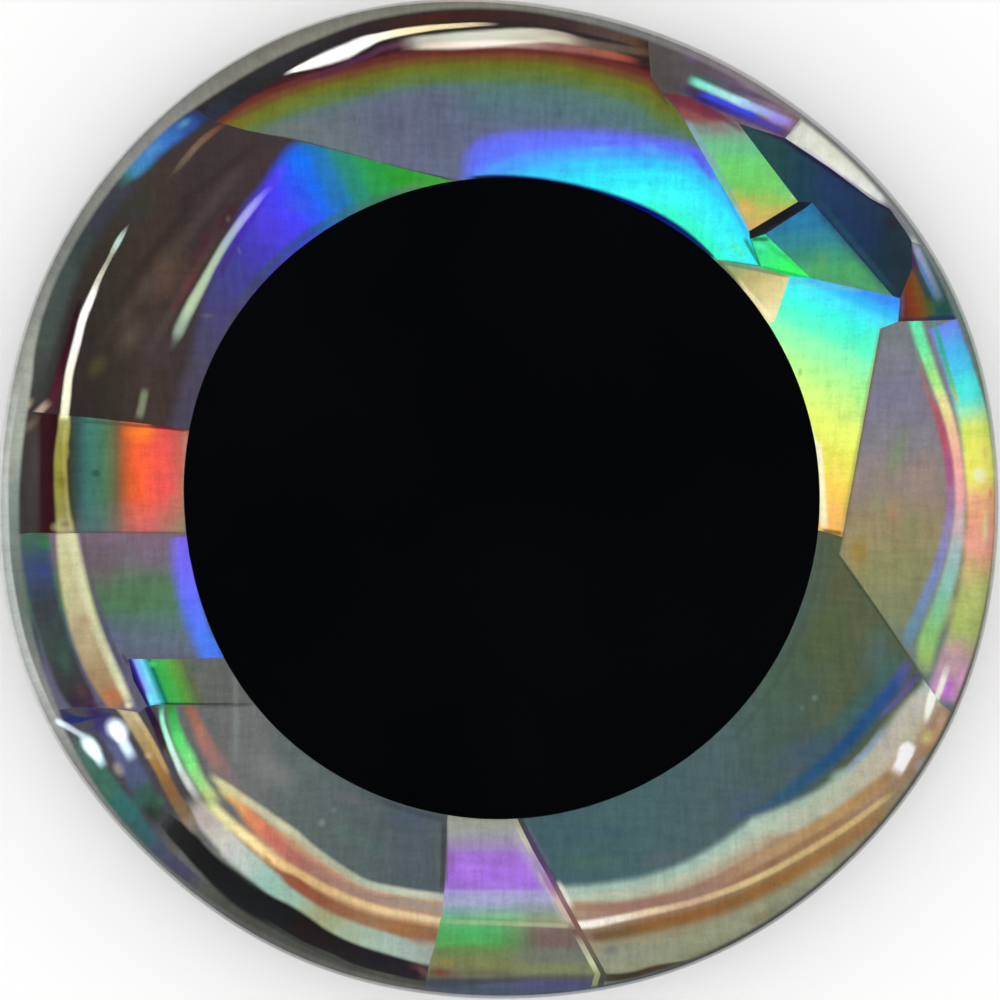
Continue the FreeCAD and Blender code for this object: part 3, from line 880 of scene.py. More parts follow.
    # navy hook above the panes' glint
    f.stroke([(58, 710), (76, 720), (92, 727), (106, 716)], [7, 10, 11, 8], [(52, 48, 70), (34, 48, 118), (30, 50, 124), (58, 46, 110)], soft=0.6)
    f.blob(94, 712, 15, 7, 10, (54, 34, 96), 0.85)
    f.stroke([(144, 702), (154, 722), (162, 744), (166, 756)], [4, 5, 5, 3], [(36, 22, 84), (44, 24, 48), (56, 44, 52), (90, 90, 90)], soft=0.6)
    f.stroke([(380, 800), (400, 808), (430, 816), (447, 820)], 5, (62, 66, 78), soft=0.9, amount=0.6)
    f.line(444, 822, 442, 888, 4, (58, 60, 62), 0.7, soft=0.8)
    f.stroke([(416, 966), (424, 972), (432, 976)], 6, (120, 78, 84), soft=0.9, amount=0.7)
    out["low_left_two"] = f.done()

    # --- bottom: violet over green
    f = Field("bottom")
    f.wash([(818, 140, 148, 128), (830, 152, 154, 150), (842, 150, 138, 168), (856, 158, 112, 206), (876, 164, 112, 220), (887, 158, 116, 210), (893, 164, 158, 208), (903, 160, 166, 196),
            (912, 128, 166, 158), (919, 108, 176, 124), (930, 88, 172, 104), (940, 84, 166, 92), (952, 112, 134, 84), (964, 126, 128, 86), (974, 110, 108, 84), (981, 72, 76, 86), (992, 78, 92, 112)], y=1.0)
    right = f.times(f.t.smooth(f.X, 492, 545), f.t.smooth(f.Y, 896, 910))
    f.wash([(904, 158, 156, 176), (914, 142, 160, 142), (921, 148, 156, 124), (929, 130, 110, 104), (940, 116, 98, 94), (955, 116, 122, 112), (970, 126, 134, 96), (978, 88, 90, 92), (984, 84, 84, 132), (992, 86, 94, 124)],
           right, y=1.0)
    f.blob(470, 870, 18, 22, 0, (176, 124, 232), 0.6)
    f.blob(520, 876, 26, 15, 12, (166, 118, 222), 0.6)
    f.line(512, 828, 548, 888, 10, (172, 164, 182), 0.5, soft=0.95)
    f.blob(452, 860, 6, 22, 0, (140, 88, 160), 0.6)
    f.blob(470, 932, 22, 13, 0, (80, 184, 104), 0.7)
    # painted reflected light: the pale cream line of the ring carries on across this shard
    f.blob(500, 915, 40, 5, 0, (150, 196, 150), 0.55)
    f.line(446, 921, 575, 926, 3.6, ((150, 190, 140), (188, 184, 150)), 0.75, soft=0.8)
    f.blob(440, 972, 18, 7, 8, (122, 50, 52), 0.75)
    f.blob(446, 962, 14, 7, 0, (150, 132, 64), 0.6)
    f.blob(555, 938, 26, 10, 0, (120, 98, 92), 0.7)
    f.blob(500, 985, 50, 5, 0, (88, 96, 120), 0.8)
    f.blob(535, 984, 34, 5, 0, (90, 86, 136), 0.8)
    f.blob(476, 982, 26, 4, 0, (64, 72, 80), 0.7)
    f.line(446, 822, 446, 884, 3, (96, 92, 92), 0.7, soft=0.8)
    f.line(540, 872, 566, 922, 6, (196, 178, 180), 0.55, soft=0.9)
    out["bottom"] = f.done()

    # --- the seam beside it: a pale line and a dark one
    f = Field("seam_pale_line")
    f.wash([(818, 150, 152, 128), (840, 186, 184, 170), (862, 160, 140, 176), (885, 160, 124, 170), (905, 206, 184, 170), (918, 196, 176, 160), (932, 120, 92, 84), (948, 176, 176, 150),
            (962, 196, 204, 168), (976, 150, 156, 112)], y=1.0)
    out["seam_pale_line"] = f.done(grain=0.5)
    f = Field("seam_dark_line")
    f.wash([(818, 70, 68, 74), (840, 76, 66, 88), (862, 84, 60, 104), (880, 104, 76, 120), (898, 140, 112, 116), (916, 128, 92, 86), (932, 124, 96, 88), (950, 106, 100, 86), (976, 78, 80, 62)], y=1.0)
    out["seam_dark_line"] = f.done(grain=0.5)

    # --- lower right: slate and olive, a blue band, then pale, tan and gold painted reflected light
    f = Field("low_right")
    f.wash([(560, 68, 94, 100), (640, 72, 98, 100), (720, 76, 96, 98), (790, 74, 92, 86), (840, 84, 94, 70)], x=1.0)
    f.blob(780, 690, 60, 90, 30, (72, 94, 76), 0.7)
    f.blob(822, 640, 36, 60, 25, (80, 92, 58), 0.8)
    f.blob(842, 585, 20, 34, 20, (90, 90, 62), 0.8)
    f.blob(876, 655, 22, 40, 20, (80, 102, 106), 0.7)
    f.blob(800, 755, 50, 26, -35, (78, 86, 106), 0.7)
    f.blob(745, 800, 40, 16, -25, (76, 92, 112), 0.7)
    f.blob(590, 862, 50, 14, 0, (72, 104, 88), 0.6)
    f.blob(600, 832, 70, 14, 0, (64, 88, 104), 0.5)
    f.blob(665, 858, 40, 10, -12, (96, 96, 102), 0.5)
    f.blob(815, 698, 5, 5, 0, (120, 134, 126), 0.7)
    f.blob(802, 708, 4, 5, 0, (104, 118, 106), 0.7)
    f.line(524, 826, 560, 888, 4, (60, 60, 84), 0.5, soft=0.9)
    f.stroke([(735, 818), (768, 806), (790, 792), (818, 770), (845, 745), (868, 718), (888, 694), (908, 664)], [8, 10, 13, 15, 16, 16, 15, 9],
             [(74, 88, 112), (62, 88, 112), (52, 88, 114), (40, 84, 120), (38, 78, 122), (38, 86, 128), (46, 80, 140), (84, 88, 150)], soft=0.97)
    f.stroke([(800, 760), (830, 735), (856, 708), (880, 680), (898, 655)], 15, [(50, 96, 110), (38, 94, 110), (34, 100, 112), (44, 108, 112), (50, 104, 108)], soft=0.97, amount=0.45)
    f.stroke([(884, 714), (898, 700), (910, 686), (920, 672)], [4, 5, 6, 6], [(90, 96, 160), (100, 92, 150), (100, 84, 150), (88, 74, 124)], soft=0.8, amount=0.8)
    # painted reflected light: the pale band and what lies outside it
    inner = [(556, 886), (600, 883), (640, 877), (680, 864), (720, 842), (750, 821), (790, 803), (820, 789), (850, 768), (870, 748), (885, 731), (905, 706), (922, 686)]
    f.rings(inner, [(-4, 126, 150, 150), (5, 160, 186, 172), (14, 180, 188, 166), (24, 178, 164, 140), (34, 166, 134, 112), (46, 152, 124, 100), (58, 148, 142, 116), (74, 146, 148, 122)],
            f.side(inner, 11, outside=True))
    f.stroke([(760, 826), (800, 820), (838, 796), (868, 770), (892, 740), (912, 712), (930, 690)], [18, 22, 22, 20, 20, 18, 14],
             [(172, 190, 172), (182, 188, 168), (178, 182, 160), (182, 176, 156), (186, 178, 164), (186, 180, 164), (196, 190, 180)], soft=0.85, first=7.0)
    f.blob(752, 826, 7, 12, 20, (168, 202, 180), 0.7)
    f.blob(840, 775, 16, 9, -30, (162, 194, 180), 0.6)
    f.stroke([(850, 768), (868, 750), (884, 730)], 6, (140, 162, 186), soft=0.9, amount=0.7)
    f.stroke([(700, 888), (740, 870), (780, 848), (820, 825), (850, 806), (880, 784), (897, 770)], [7, 9, 11, 11, 11, 10, 6],
             [(162, 130, 108), (174, 142, 110), (178, 146, 108), (178, 144, 98), (178, 142, 92), (162, 130, 84), (152, 126, 88)], soft=0.95, first=7.0)
    f.stroke([(572, 906), (610, 908), (650, 903), (700, 890), (742, 868)], [9, 9, 10, 10, 8], [(170, 132, 112), (164, 124, 110), (156, 118, 106), (156, 122, 108), (170, 134, 108)], soft=0.8)
    f.stroke([(735, 881), (775, 862), (815, 838), (850, 816)], [5, 5, 5, 4], [(150, 108, 82), (150, 110, 80), (154, 116, 74), (156, 122, 76)], soft=0.9, amount=0.8)
    f.stroke([(590, 937), (620, 933), (650, 926), (690, 917), (740, 900), (780, 880), (820, 857), (860, 830), (888, 808)], [9, 11, 12, 13, 14, 15, 15, 13, 9],
             [(112, 86, 66), (116, 92, 62), (136, 96, 54), (142, 96, 54), (138, 100, 56), (146, 106, 58), (150, 112, 66), (156, 116, 72), (160, 126, 84)], soft=0.9)
    f.stroke([(600, 955), (650, 952), (700, 944), (740, 928), (770, 912)], [12, 12, 10, 9, 5], [(146, 148, 128), (140, 144, 124), (142, 146, 118), (150, 152, 126), (140, 130, 96)], soft=0.7)
    f.stroke([(696, 956), (730, 946), (760, 932)], 5, (138, 130, 78), soft=0.8, amount=0.8)
    # painted highlight: the bright cream line of the reflected light
    f.stroke([(574, 925), (590, 924), (612, 920), (650, 912), (690, 903), (730, 890), (765, 875), (800, 856), (850, 825), (875, 807), (896, 791)], [6, 6.5, 6, 5.5, 5, 5, 5, 5, 5, 5, 4],
             [(248, 240, 220), (255, 250, 240), (248, 240, 224), (230, 206, 168), (206, 172, 140), (212, 184, 136), (212, 186, 132), (202, 172, 116), (202, 172, 116), (196, 172, 122), (176, 158, 110)],
             soft=0.8, first=0.6)
    f.line(558, 884, 570, 906, 6, (226, 218, 208), 0.85, soft=0.7)
    f.line(528, 826, 550, 866, 3, (110, 100, 120), 0.35, soft=0.9)
    f.stroke([(600, 978), (630, 976), (660, 968), (690, 962)], [7, 6, 5, 3], [(66, 62, 48), (62, 48, 26), (76, 56, 34), (88, 76, 56)], soft=0.7)
    f.blob(612, 950, 14, 8, 0, (110, 112, 112), 0.6)
    # painted glint: the panes' white glint at the right, and the gold beside it
    f.stroke([(944, 715), (936, 738), (926, 752)], [7, 8, 7], [(196, 166, 140), (190, 150, 112), (182, 140, 96)], soft=0.8)
    f.blob(928, 738, 12, 9, -60, (192, 188, 112), 0.85)
    f.blob(908, 738, 12, 12, -60, (178, 182, 146), 0.7)
    f.blob(890, 748, 8, 16, 25, (190, 176, 168), 0.6)
    f.blob(922, 766, 12, 10, -60, (158, 156, 164), 0.85)
    f.blob(906, 752, 13, 10, 120, (250, 242, 246), 1.0, soft=0.55)
    f.line(910, 748, 898, 771, 8.5, (250, 242, 246), 1.0, soft=0.6)
    f.blob(931, 702, 6, 26, 14, (250, 252, 236), 1.0, soft=0.6)
    f.blob(918, 705, 6, 18, 14, (196, 190, 190), 0.8)
    f.blob(890, 792, 16, 9, -40, (150, 128, 76), 0.5)
    f.line(838, 556, 926, 680, 2.6, (70, 74, 62), 0.75, soft=0.8)
    f.stroke([(730, 742), (760, 706), (790, 655), (815, 590), (822, 545)], 5, [(50, 64, 56), (56, 66, 54), (60, 66, 46), (62, 62, 46), (58, 56, 46)], soft=0.9, amount=0.2)
    out["low_right"] = f.done()

    # --- right, by the print: blue over aqua and lime to orange
    f = Field("right_inner")
    f.wash([(-108, 70, 130, 250), (-97, 62, 148, 252), (-86, 60, 190, 255), (-74, 72, 232, 252), (-58, 70, 252, 228), (-42, 92, 253, 204), (-18, 148, 252, 176), (5, 178, 250, 148), (25, 208, 248, 132),
            (52, 230, 246, 112), (90, 236, 228, 92), (115, 246, 206, 90), (148, 248, 190, 100)], y=1.0, x=-0.45)
    f.blob(868, 345, 12, 30, 8, (90, 246, 196), 0.6)
    f.blob(862, 400, 10, 30, 8, (150, 240, 140), 0.5)
    f.line(880, 332, 843, 530, 5, (150, 150, 90), 0.55, soft=0.9)
    f.blob(835, 512, 12, 18, 0, (250, 186, 104), 0.6)
    f.blob(838, 470, 12, 20, 0, (244, 212, 110), 0.5)
    f.blob(800, 372, 4, 7, 0, (130, 170, 96), 0.6)
    # painted highlight: a pale line of light along the print's right edge
    f.line(782, 352, 818, 455, 5, (238, 250, 226), 0.9, soft=0.8)
    f.line(818, 445, 824, 528, 6, (252, 248, 206), 0.9, soft=0.8)
    f.line(822, 531, 842, 534, 4, (120, 84, 40), 0.85, soft=0.8)
    f.line(788, 282, 862, 291, 4, (110, 190, 200), 0.5, soft=0.9)
    f.blob(806, 290, 14, 8, 0, (80, 246, 244), 0.6)
    out["right_inner"] = f.done(grain=0.8)

    # --- right: grey-purple to olive, rainbows towards the rim
    f = Field("right")
    f.wash([(322, 118, 124, 126), (350, 124, 128, 136), (395, 126, 124, 146), (440, 132, 128, 134), (480, 146, 132, 124), (530, 150, 138, 104), (570, 138, 138, 98), (610, 128, 132, 98), (645, 112, 124, 116),
            (680, 108, 120, 120)], y=1.0)
    f.blob(896, 455, 14, 40, 18, (126, 142, 102), 0.7)
    f.blob(878, 500, 10, 18, 0, (134, 138, 100), 0.5)
    f.blob(925, 478, 24, 46, 8, (158, 136, 124), 0.6)
    f.blob(893, 512, 12, 24, 15, (174, 136, 106), 0.7)
    f.blob(858, 552, 16, 24, 0, (152, 124, 56), 0.85)
    f.blob(864, 478, 10, 40, 10, (136, 124, 128), 0.6)
    f.blob(914, 530, 18, 30, 0, (142, 142, 106), 0.5)
    f.blob(922, 390, 12, 34, -12, (140, 120, 130), 0.6)
    f.blob(866, 430, 8, 40, 8, (128, 120, 140), 0.6)
    rim = [(948, 322), (960, 352), (972, 392), (980, 430), (984, 470), (986, 505), (985, 545), (980, 590), (970, 630), (960, 665), (948, 700)]
    f.stroke(rim, [24, 24, 24, 24, 24, 24, 24, 24, 24, 26, 26],
             [(112, 142, 250), (76, 188, 254), (78, 240, 226), (222, 242, 108), (252, 244, 110), (246, 176, 132), (236, 162, 140), (180, 186, 112), (168, 184, 104), (186, 150, 160), (200, 150, 196)],
             soft=0.35, first=0.2, last=0.6)
    f.blob(968, 340, 10, 16, -25, (140, 150, 236), 0.7)
    f.blob(966, 388, 12, 10, -20, (88, 252, 244), 0.6)
    f.blob(972, 445, 10, 16, -10, (254, 252, 104), 0.7)
    f.blob(984, 452, 5, 16, -6, (226, 190, 100), 0.7)
    f.blob(979, 475, 9, 11, -30, (250, 255, 190), 0.9, soft=0.7)
    f.blob(990, 494, 4, 9, 0, (240, 130, 76), 0.8)
    f.blob(972, 502, 10, 14, 0, (246, 178, 150), 0.7)
    f.blob(965, 540, 10, 18, 6, (238, 166, 146), 0.6)
    f.blob(984, 530, 5, 26, 4, (220, 216, 156), 0.7)
    f.blob(968, 575, 12, 16, 10, (206, 180, 126), 0.7)
    f.blob(948, 612, 10, 22, 16, (176, 192, 128), 0.6)
    f.blob(948, 690, 8, 20, 16, (186, 104, 204), 0.95)
    f.blob(962, 680, 5, 26, 18, (224, 162, 206), 0.9)
    f.blob(958, 650, 9, 12, 16, (200, 150, 150), 0.7)
    inn = [(914, 318), (922, 345), (934, 378), (944, 405), (952, 435), (957, 465), (959, 495), (958, 525), (954, 555), (947, 585), (938, 612), (929, 638), (924, 668)]
    f.stroke(inn, [9, 9, 8, 8, 8, 8, 8, 9, 10, 11, 12, 14, 12],
             [(96, 230, 180), (112, 236, 168), (166, 236, 136), (236, 224, 150), (246, 196, 156), (244, 176, 166), (236, 172, 170), (206, 180, 186), (164, 190, 188), (136, 188, 176), (130, 190, 144), (140, 192, 112), (160, 186, 108)],
             soft=0.7, first=0.2)
    f.stroke([(916, 350), (926, 385), (936, 412), (944, 440), (949, 470), (950, 500), (947, 528), (941, 555), (933, 580), (923, 605), (913, 628), (906, 645)], [3, 4, 6, 7, 7, 7, 8, 8, 9, 10, 10, 8],
             [(130, 140, 128), (150, 120, 116), (176, 98, 106), (180, 90, 110), (172, 96, 136), (160, 120, 160), (150, 134, 176), (132, 136, 184), (122, 138, 184), (114, 136, 172), (104, 140, 160), (96, 134, 150)],
             soft=0.8, first=1.0)
    f.stroke([(934, 322), (942, 350), (950, 378), (957, 402)], 4, [(66, 160, 150), (56, 176, 146), (90, 190, 140), (190, 200, 110)], soft=0.9)
    f.line(880, 332, 843, 530, 4, (112, 100, 70), 0.7, soft=0.9)
    f.line(843, 530, 838, 556, 3, (90, 82, 60), 0.6, soft=0.9)
    f.line(840, 557, 926, 682, 2.4, (84, 88, 62), 0.7, soft=0.8)
    # painted glint: the upper end of the panes' white glint
    f.stroke([(934, 706), (940, 690), (946, 672)], 5, (236, 230, 220), soft=0.8)
    out["right"] = f.done()

    # --- small shards at the upper right
    f = Field("peach")
    f.wash([(-60, 96, 150, 110), (-34, 150, 168, 116), (-14, 190, 178, 118), (6, 222, 206, 146), (26, 238, 228, 172), (50, 240, 236, 200)], x=0.55, y=0.83, c=-660)
    f.line(722, 263, 790, 277, 3, (96, 140, 110), 0.8, soft=0.7)
    # painted highlight: the pale line of light along the print's edge carries on here
    f.line(738, 282, 778, 326, 4, (250, 240, 196), 0.6, soft=0.8)
    f.line(718, 262, 742, 290, 5, (70, 64, 60), 0.6, soft=0.9)
    out["peach"] = f.done(grain=0.8)

    f = Field("green")
    f.wash([(-30, 58, 214, 150), (-8, 60, 232, 128), (12, 58, 250, 104), (35, 62, 255, 96)], x=0.8, y=0.6, c=-780)
    f.line(760, 241, 808, 274, 4, (50, 160, 96), 0.3, soft=0.9)
    f.line(752, 240, 768, 240, 3, (20, 110, 60), 0.8, soft=0.7)
    f.blob(760, 246, 12, 6, 10, (90, 246, 180), 0.6)
    f.line(760, 268, 812, 280, 3, (30, 170, 90), 0.7, soft=0.8)
    f.line(749, 240, 760, 268, 2.5, (20, 110, 70), 0.7, soft=0.7)
    out["green"] = f.done(grain=0.8)

    f = Field("teal")
    f.wash([(205, 44, 116, 172), (222, 48, 124, 168), (240, 56, 136, 150), (256, 66, 150, 122), (272, 78, 166, 104), (290, 82, 150, 104)], y=1.0, x=0.08, c=-66)
    f.line(816, 208, 888, 288, 10, (42, 76, 100), 0.6, soft=0.95)
    f.blob(800, 220, 18, 8, 20, (44, 136, 178), 0.7)
    f.blob(822, 262, 10, 14, 0, (92, 158, 90), 0.6)
    f.blob(862, 284, 20, 7, 25, (74, 176, 112), 0.7)
    out["teal"] = f.done()

    f = Field("bar")
    f.wash([(750, 30, 34, 32), (780, 28, 26, 30), (812, 26, 38, 50)], x=1.0)
    f.line(752, 240, 808, 210, 3, (48, 48, 60), 0.6, soft=0.8)
    out["bar"] = f.done(grain=0.6)

    f = Field("lime")
    f.wash([(95, 92, 60, 66), (118, 142, 82, 82), (130, 130, 150, 140), (148, 112, 196, 142), (166, 112, 212, 116), (186, 116, 204, 104), (200, 150, 196, 96), (214, 200, 186, 100), (228, 216, 170, 98)], y=1.0)
    f.blob(744, 208, 18, 14, -20, (224, 176, 96), 0.85)
    f.blob(735, 196, 10, 10, 0, (196, 184, 90), 0.6)
    f.blob(783, 192, 16, 12, 35, (124, 214, 132), 0.7)
    f.blob(768, 170, 12, 10, 40, (122, 200, 116), 0.6)
    f.blob(795, 198, 8, 5, 0, (160, 224, 156), 0.8)
    f.line(686, 124, 716, 170, 7, (138, 176, 190), 0.8, soft=0.9)
    f.line(716, 168, 748, 228, 4, (110, 176, 170), 0.6, soft=0.9)
    f.line(664, 92, 718, 120, 9, (118, 46, 64), 0.85, soft=0.95)
    f.line(690, 118, 728, 132, 7, (150, 100, 88), 0.4, soft=0.95)
    f.line(690, 98, 742, 132, 5, (92, 44, 80), 0.6, soft=0.9)
    out["lime"] = f.done(grain=0.8)

    f = Field("navy")
    f.wash([(735, 44, 70, 72), (775, 40, 76, 78), (805, 36, 66, 84), (835, 36, 58, 92), (865, 34, 54, 86), (900, 32, 50, 60)], x=1.0)
    f.blob(832, 196, 34, 16, 40, (38, 62, 100), 0.7)
    f.blob(760, 148, 26, 12, 40, (40, 78, 76), 0.7)
    f.blob(880, 262, 16, 26, -10, (28, 52, 62), 0.7)
    f.blob(892, 225, 16, 10, 40, (36, 30, 44), 0.7)
    f.blob(850, 232, 26, 16, 40, (34, 56, 96), 0.6)
    f.line(690, 98, 785, 141, 5, (42, 24, 70), 0.8, soft=0.8)
    f.line(785, 141, 892, 213, 5, (36, 20, 56), 0.85, soft=0.8)
    f.line(716, 112, 745, 128, 5, (70, 30, 70), 0.7, soft=0.9)
    f.line(822, 206, 892, 290, 5, (44, 90, 96), 0.4, soft=0.9)
    f.line(806, 208, 830, 214, 5, (34, 60, 110), 0.6, soft=0.9)
    out["navy"] = f.done()

    f = Field("streak")
    f.wash([(650, 84, 80, 76), (690, 88, 80, 84), (730, 104, 88, 108), (770, 134, 112, 136), (800, 128, 104, 110)], x=1.0)
    f.blob(668, 84, 18, 12, 30, (76, 72, 74), 0.7)
    f.blob(690, 60, 14, 7, 20, (110, 96, 140), 0.6)
    f.blob(720, 68, 14, 6, 25, (76, 70, 86), 0.7)
    f.line(684, 90, 790, 138, 7, (60, 44, 90), 0.8, soft=0.8)
    f.line(694, 99, 778, 131, 5, ((38, 30, 120), (90, 76, 180)), 0.9, soft=0.85)
    f.line(702, 95, 756, 118, 5, (62, 74, 232), 1.0, soft=0.85)
    f.line(690, 76, 760, 100, 4, ((50, 110, 90), (90, 76, 110)), 0.8, soft=0.8)
    f.line(691, 82, 745, 106, 6.5, ((120, 240, 212), (200, 242, 255)), 1.0, soft=0.85)
    f.line(738, 103, 790, 125, 6.5, ((172, 216, 255), (160, 132, 226)), 1.0, soft=0.8)
    f.blob(776, 122, 14, 7, 24, (158, 134, 232), 0.7)
    f.line(722, 84, 792, 112, 4, (96, 74, 100), 0.6, soft=0.9)
    f.line(740, 84, 800, 112, 5, (146, 130, 146), 0.6, soft=0.9)
    f.blob(796, 118, 9, 6, 30, (116, 74, 84), 0.8)
    f.blob(676, 100, 14, 7, 25, (96, 44, 66), 0.7)
    out["streak"] = f.done(grain=0.8)

    # painted reflection: this shard is painted near white where it mirrors the light
    f = Field("pale")
    f.wash([(785, 208, 210, 202), (810, 226, 228, 212), (840, 236, 238, 220), (875, 232, 238, 228), (905, 196, 202, 204)], x=1.0)
    f.line(800, 150, 860, 192, 6, (196, 196, 222), 0.8, soft=0.9)
    f.line(815, 138, 868, 182, 6, (232, 234, 214), 0.8, soft=0.9)
    f.blob(880, 198, 10, 6, 40, (228, 236, 240), 0.9)
    f.line(786, 138, 800, 122, 4, (150, 140, 150), 0.7, soft=0.9)
    f.line(832, 130, 880, 178, 5, (160, 162, 150), 0.6, soft=0.9)
    f.line(884, 204, 912, 240, 8, (104, 98, 112), 0.85, soft=0.9)
    f.line(786, 142, 890, 212, 3, (90, 84, 110), 0.6, soft=0.9)
    out["pale"] = f.done(grain=0.8)

    f = Field("corner")
    f.wash([(898, 92, 46, 30), (908, 124, 56, 32), (918, 112, 76, 34), (926, 74, 88, 44), (934, 36, 82, 74), (944, 34, 80, 78), (958, 104, 124, 120)], x=1.0, y=-0.22, c=64)
    f.line(914, 246, 940, 300, 7, ((168, 176, 214), (96, 120, 130)), 0.9, soft=0.8)
    f.line(918, 262, 934, 296, 3, (70, 120, 190), 0.8, soft=0.8)
    f.line(908, 244, 916, 272, 6, (60, 36, 84), 0.85, soft=0.8)
    f.line(916, 272, 930, 300, 5, (28, 56, 84), 0.7, soft=0.9)
    f.blob(912, 241, 5, 5, 0, (216, 186, 188), 0.95)
    f.line(902, 321, 956, 319, 4, (44, 40, 60), 0.7, soft=0.8)
    f.line(928, 318, 956, 318, 4, (20, 52, 96), 0.7, soft=0.9)
    f.line(902, 285, 902, 318, 4, (96, 90, 130), 0.5, soft=0.9)
    out["corner"] = f.done()
    return out


# ---- film mesh: a disc split into the shards --------------------------------
def rim_points(a, b):
    """Angles (deg) of the rim's steps strictly between a and b, going up."""
    step = 360 / NS
    k = math.floor(a / step + 1e-6) + 1
    res = []
    while k * step < b - 1e-6:
        res.append(k * step)
        k += 1
    return res


print("lens: film radius shown at the rim %.3f mm, at 0.9 %.3f, at 0.64 %.3f" % (
    ON_FILM_M[-1], np.interp(0.9, SEEN_M, ON_FILM_M), np.interp(0.64, SEEN_M, ON_FILM_M)))


CENTRE = [(519, 820), (534, 850), (549, 876), (563, 902), (577, 927), (590, 950), (603, 974)]
POINTS = {
    # seam top | upper left
    "a1": (452, 181), "a2": (400, 168), "a3": (340, 151), "a4": (280, 136), "a5": (245, 129), "a6": (212, 119),
    # upper left | left
    "b1": (188, 430), "b2": (150, 424), "b3": (90, 417), "b4": (58, 414), "b5": (28, 410),
    # left | lower left one
    "c1": (187, 534), "c2": (130, 534), "c3": (75, 534), "c4": (30, 534),
    # lower left one | two
    "d1": (222, 658), "d2": (170, 659), "d3": (128, 659), "d4": (133, 680), "d5": (147, 706),
    "d6": (138, 712), "d7": (110, 708), "d8": (75, 707),
    # split in lower left two
    "e1": (257, 706), "e2": (200, 705), "e3": (156, 704),
    # lower left two | bottom
    "f1": (447, 820), "f2": (446, 860), "f3": (444, 890), "f4": (441, 915), "f5": (435, 942), "f6": (428, 966),
    # lower right | right
    "m": (842, 537), "h1": (839, 555), "h2": (880, 613), "h3": (925, 682), "h4": (942, 706),
    # pupil | right inner
    "k0": (820, 531),
    # right inner | peach, top
    "k1": (775, 321), "F": (790, 277), "E": (811, 279), "G": (893, 297), "H": (900, 299), "I": (898, 322), "J": (880, 329),
    "i1": (930, 321), "i2": (954, 320),
    "q1": (716, 260), "B": (759, 268),
    "A1": (749, 232), "A2": (798, 203), "A3": (812, 204), "A4": (806, 209), "A5": (765, 235), "A6": (750, 240),
    "s1": (700, 150), "s2": (682, 118), "N": (662, 94), "s3": (650, 78),
    "t1": (690, 98), "t2": (715, 111), "L": (738, 125), "K0": (785, 140), "u1": (830, 170), "u2": (870, 200),
    "u3": (890, 211), "u4": (905, 232), "K2": (912, 243), "K1": (912, 270), "v1": (800, 121),
}
for i, (x, y) in enumerate(CENTRE):
    for tag, dx in (("l", -7.0), ("z", -1.0), ("g", 4.5)):
        POINTS["%s%d" % (tag, i)] = (x + dx, y)

# Each shard, as its corners in turn.  p and r with an angle are places under the
# print's edge and on the film's cut edge.
PATCHES = {
    "top": "p47.7 q1 B A6 A1 s1 s2 N s3 r72.5 r128.2 a6 a5 a4 a3 a2 a1 p98.4",
    "upper_left": "p98.4 a1 a2 a3 a4 a5 a6 r128.2 r169.3 b5 b4 b3 b2 b1 p167.6",
    "left": "p167.6 b1 b2 b3 b4 b5 r169.3 r184.5 c4 c3 c2 c1 p186.5",
    "low_left_one": "p186.5 c1 c2 c3 c4 r184.5 r205.2 d8 d7 d6 d5 d4 d3 d2 d1 p209.9",
    "wedge": "p209.9 d1 d2 d3 d4 d5 e3 e2 e1 p220.6",
    "low_left_two": "p220.6 e1 e2 e3 d5 d6 d7 d8 r205.2 r261.3 f6 f5 f4 f3 f2 f1 p260.8",
    "bottom": "p260.8 f1 f2 f3 f4 f5 f6 r261.3 r280.7 l6 l5 l4 l3 l2 l1 l0 p272.0",
    "seam_pale_line": "p272.0 l0 l1 l2 l3 l4 l5 l6 r280.7 r281.4 z6 z5 z4 z3 z2 z1 z0 p273.2",
    "seam_dark_line": "p273.2 z0 z1 z2 z3 z4 z5 z6 r281.4 r282.2 g6 g5 g4 g3 g2 g1 g0 p274.4",
    "low_right": "p274.4 g0 g1 g2 g3 g4 g5 g6 r282.2 r334.6 h4 h3 h2 h1 m k0 p354.2",
    "right_inner": "p354.2 k0 m J I H G E F k1 p392.7",
    "right": "m h1 h2 h3 h4 r334.6 r381.3 i2 i1 I J",
    "peach": "p392.7 k1 F B q1 p407.7",
    "green": "A6 B F E A5",
    "teal": "A5 E G A3 A4",
    "bar": "A1 A6 A5 A4 A3 A2",
    "lime": "A1 A2 L t2 t1 N s2 s1",
    "navy": "A3 G H K1 K2 u4 u3 u2 u1 K0 L A2",
    "streak": "s3 N t1 t2 L K0 v1 r411.8 r432.5",
    "pale": "K0 u1 u2 u3 u4 K2 r390.0 r411.8 v1",
    "corner": "K2 K1 H I i1 i2 r381.3 r390.0",
}
R_IN = 4.50
RIM_SEEN = float(ON_FILM_M[-1])


def place(token):
    """Film position of a corner, in mm."""
    if token[0] in "pr" and token[1:].replace(".", "").isdigit():
        a = math.radians(float(token[1:]) % 360)
        r = R_IN if token[0] == "p" else FILM_R * float(outline(a))
        return r * math.cos(a), r * math.sin(a)
    return film_point(*POINTS[token])


def is_ring(token):
    return token[0] in "pr" and token[1:].replace(".", "").isdigit()


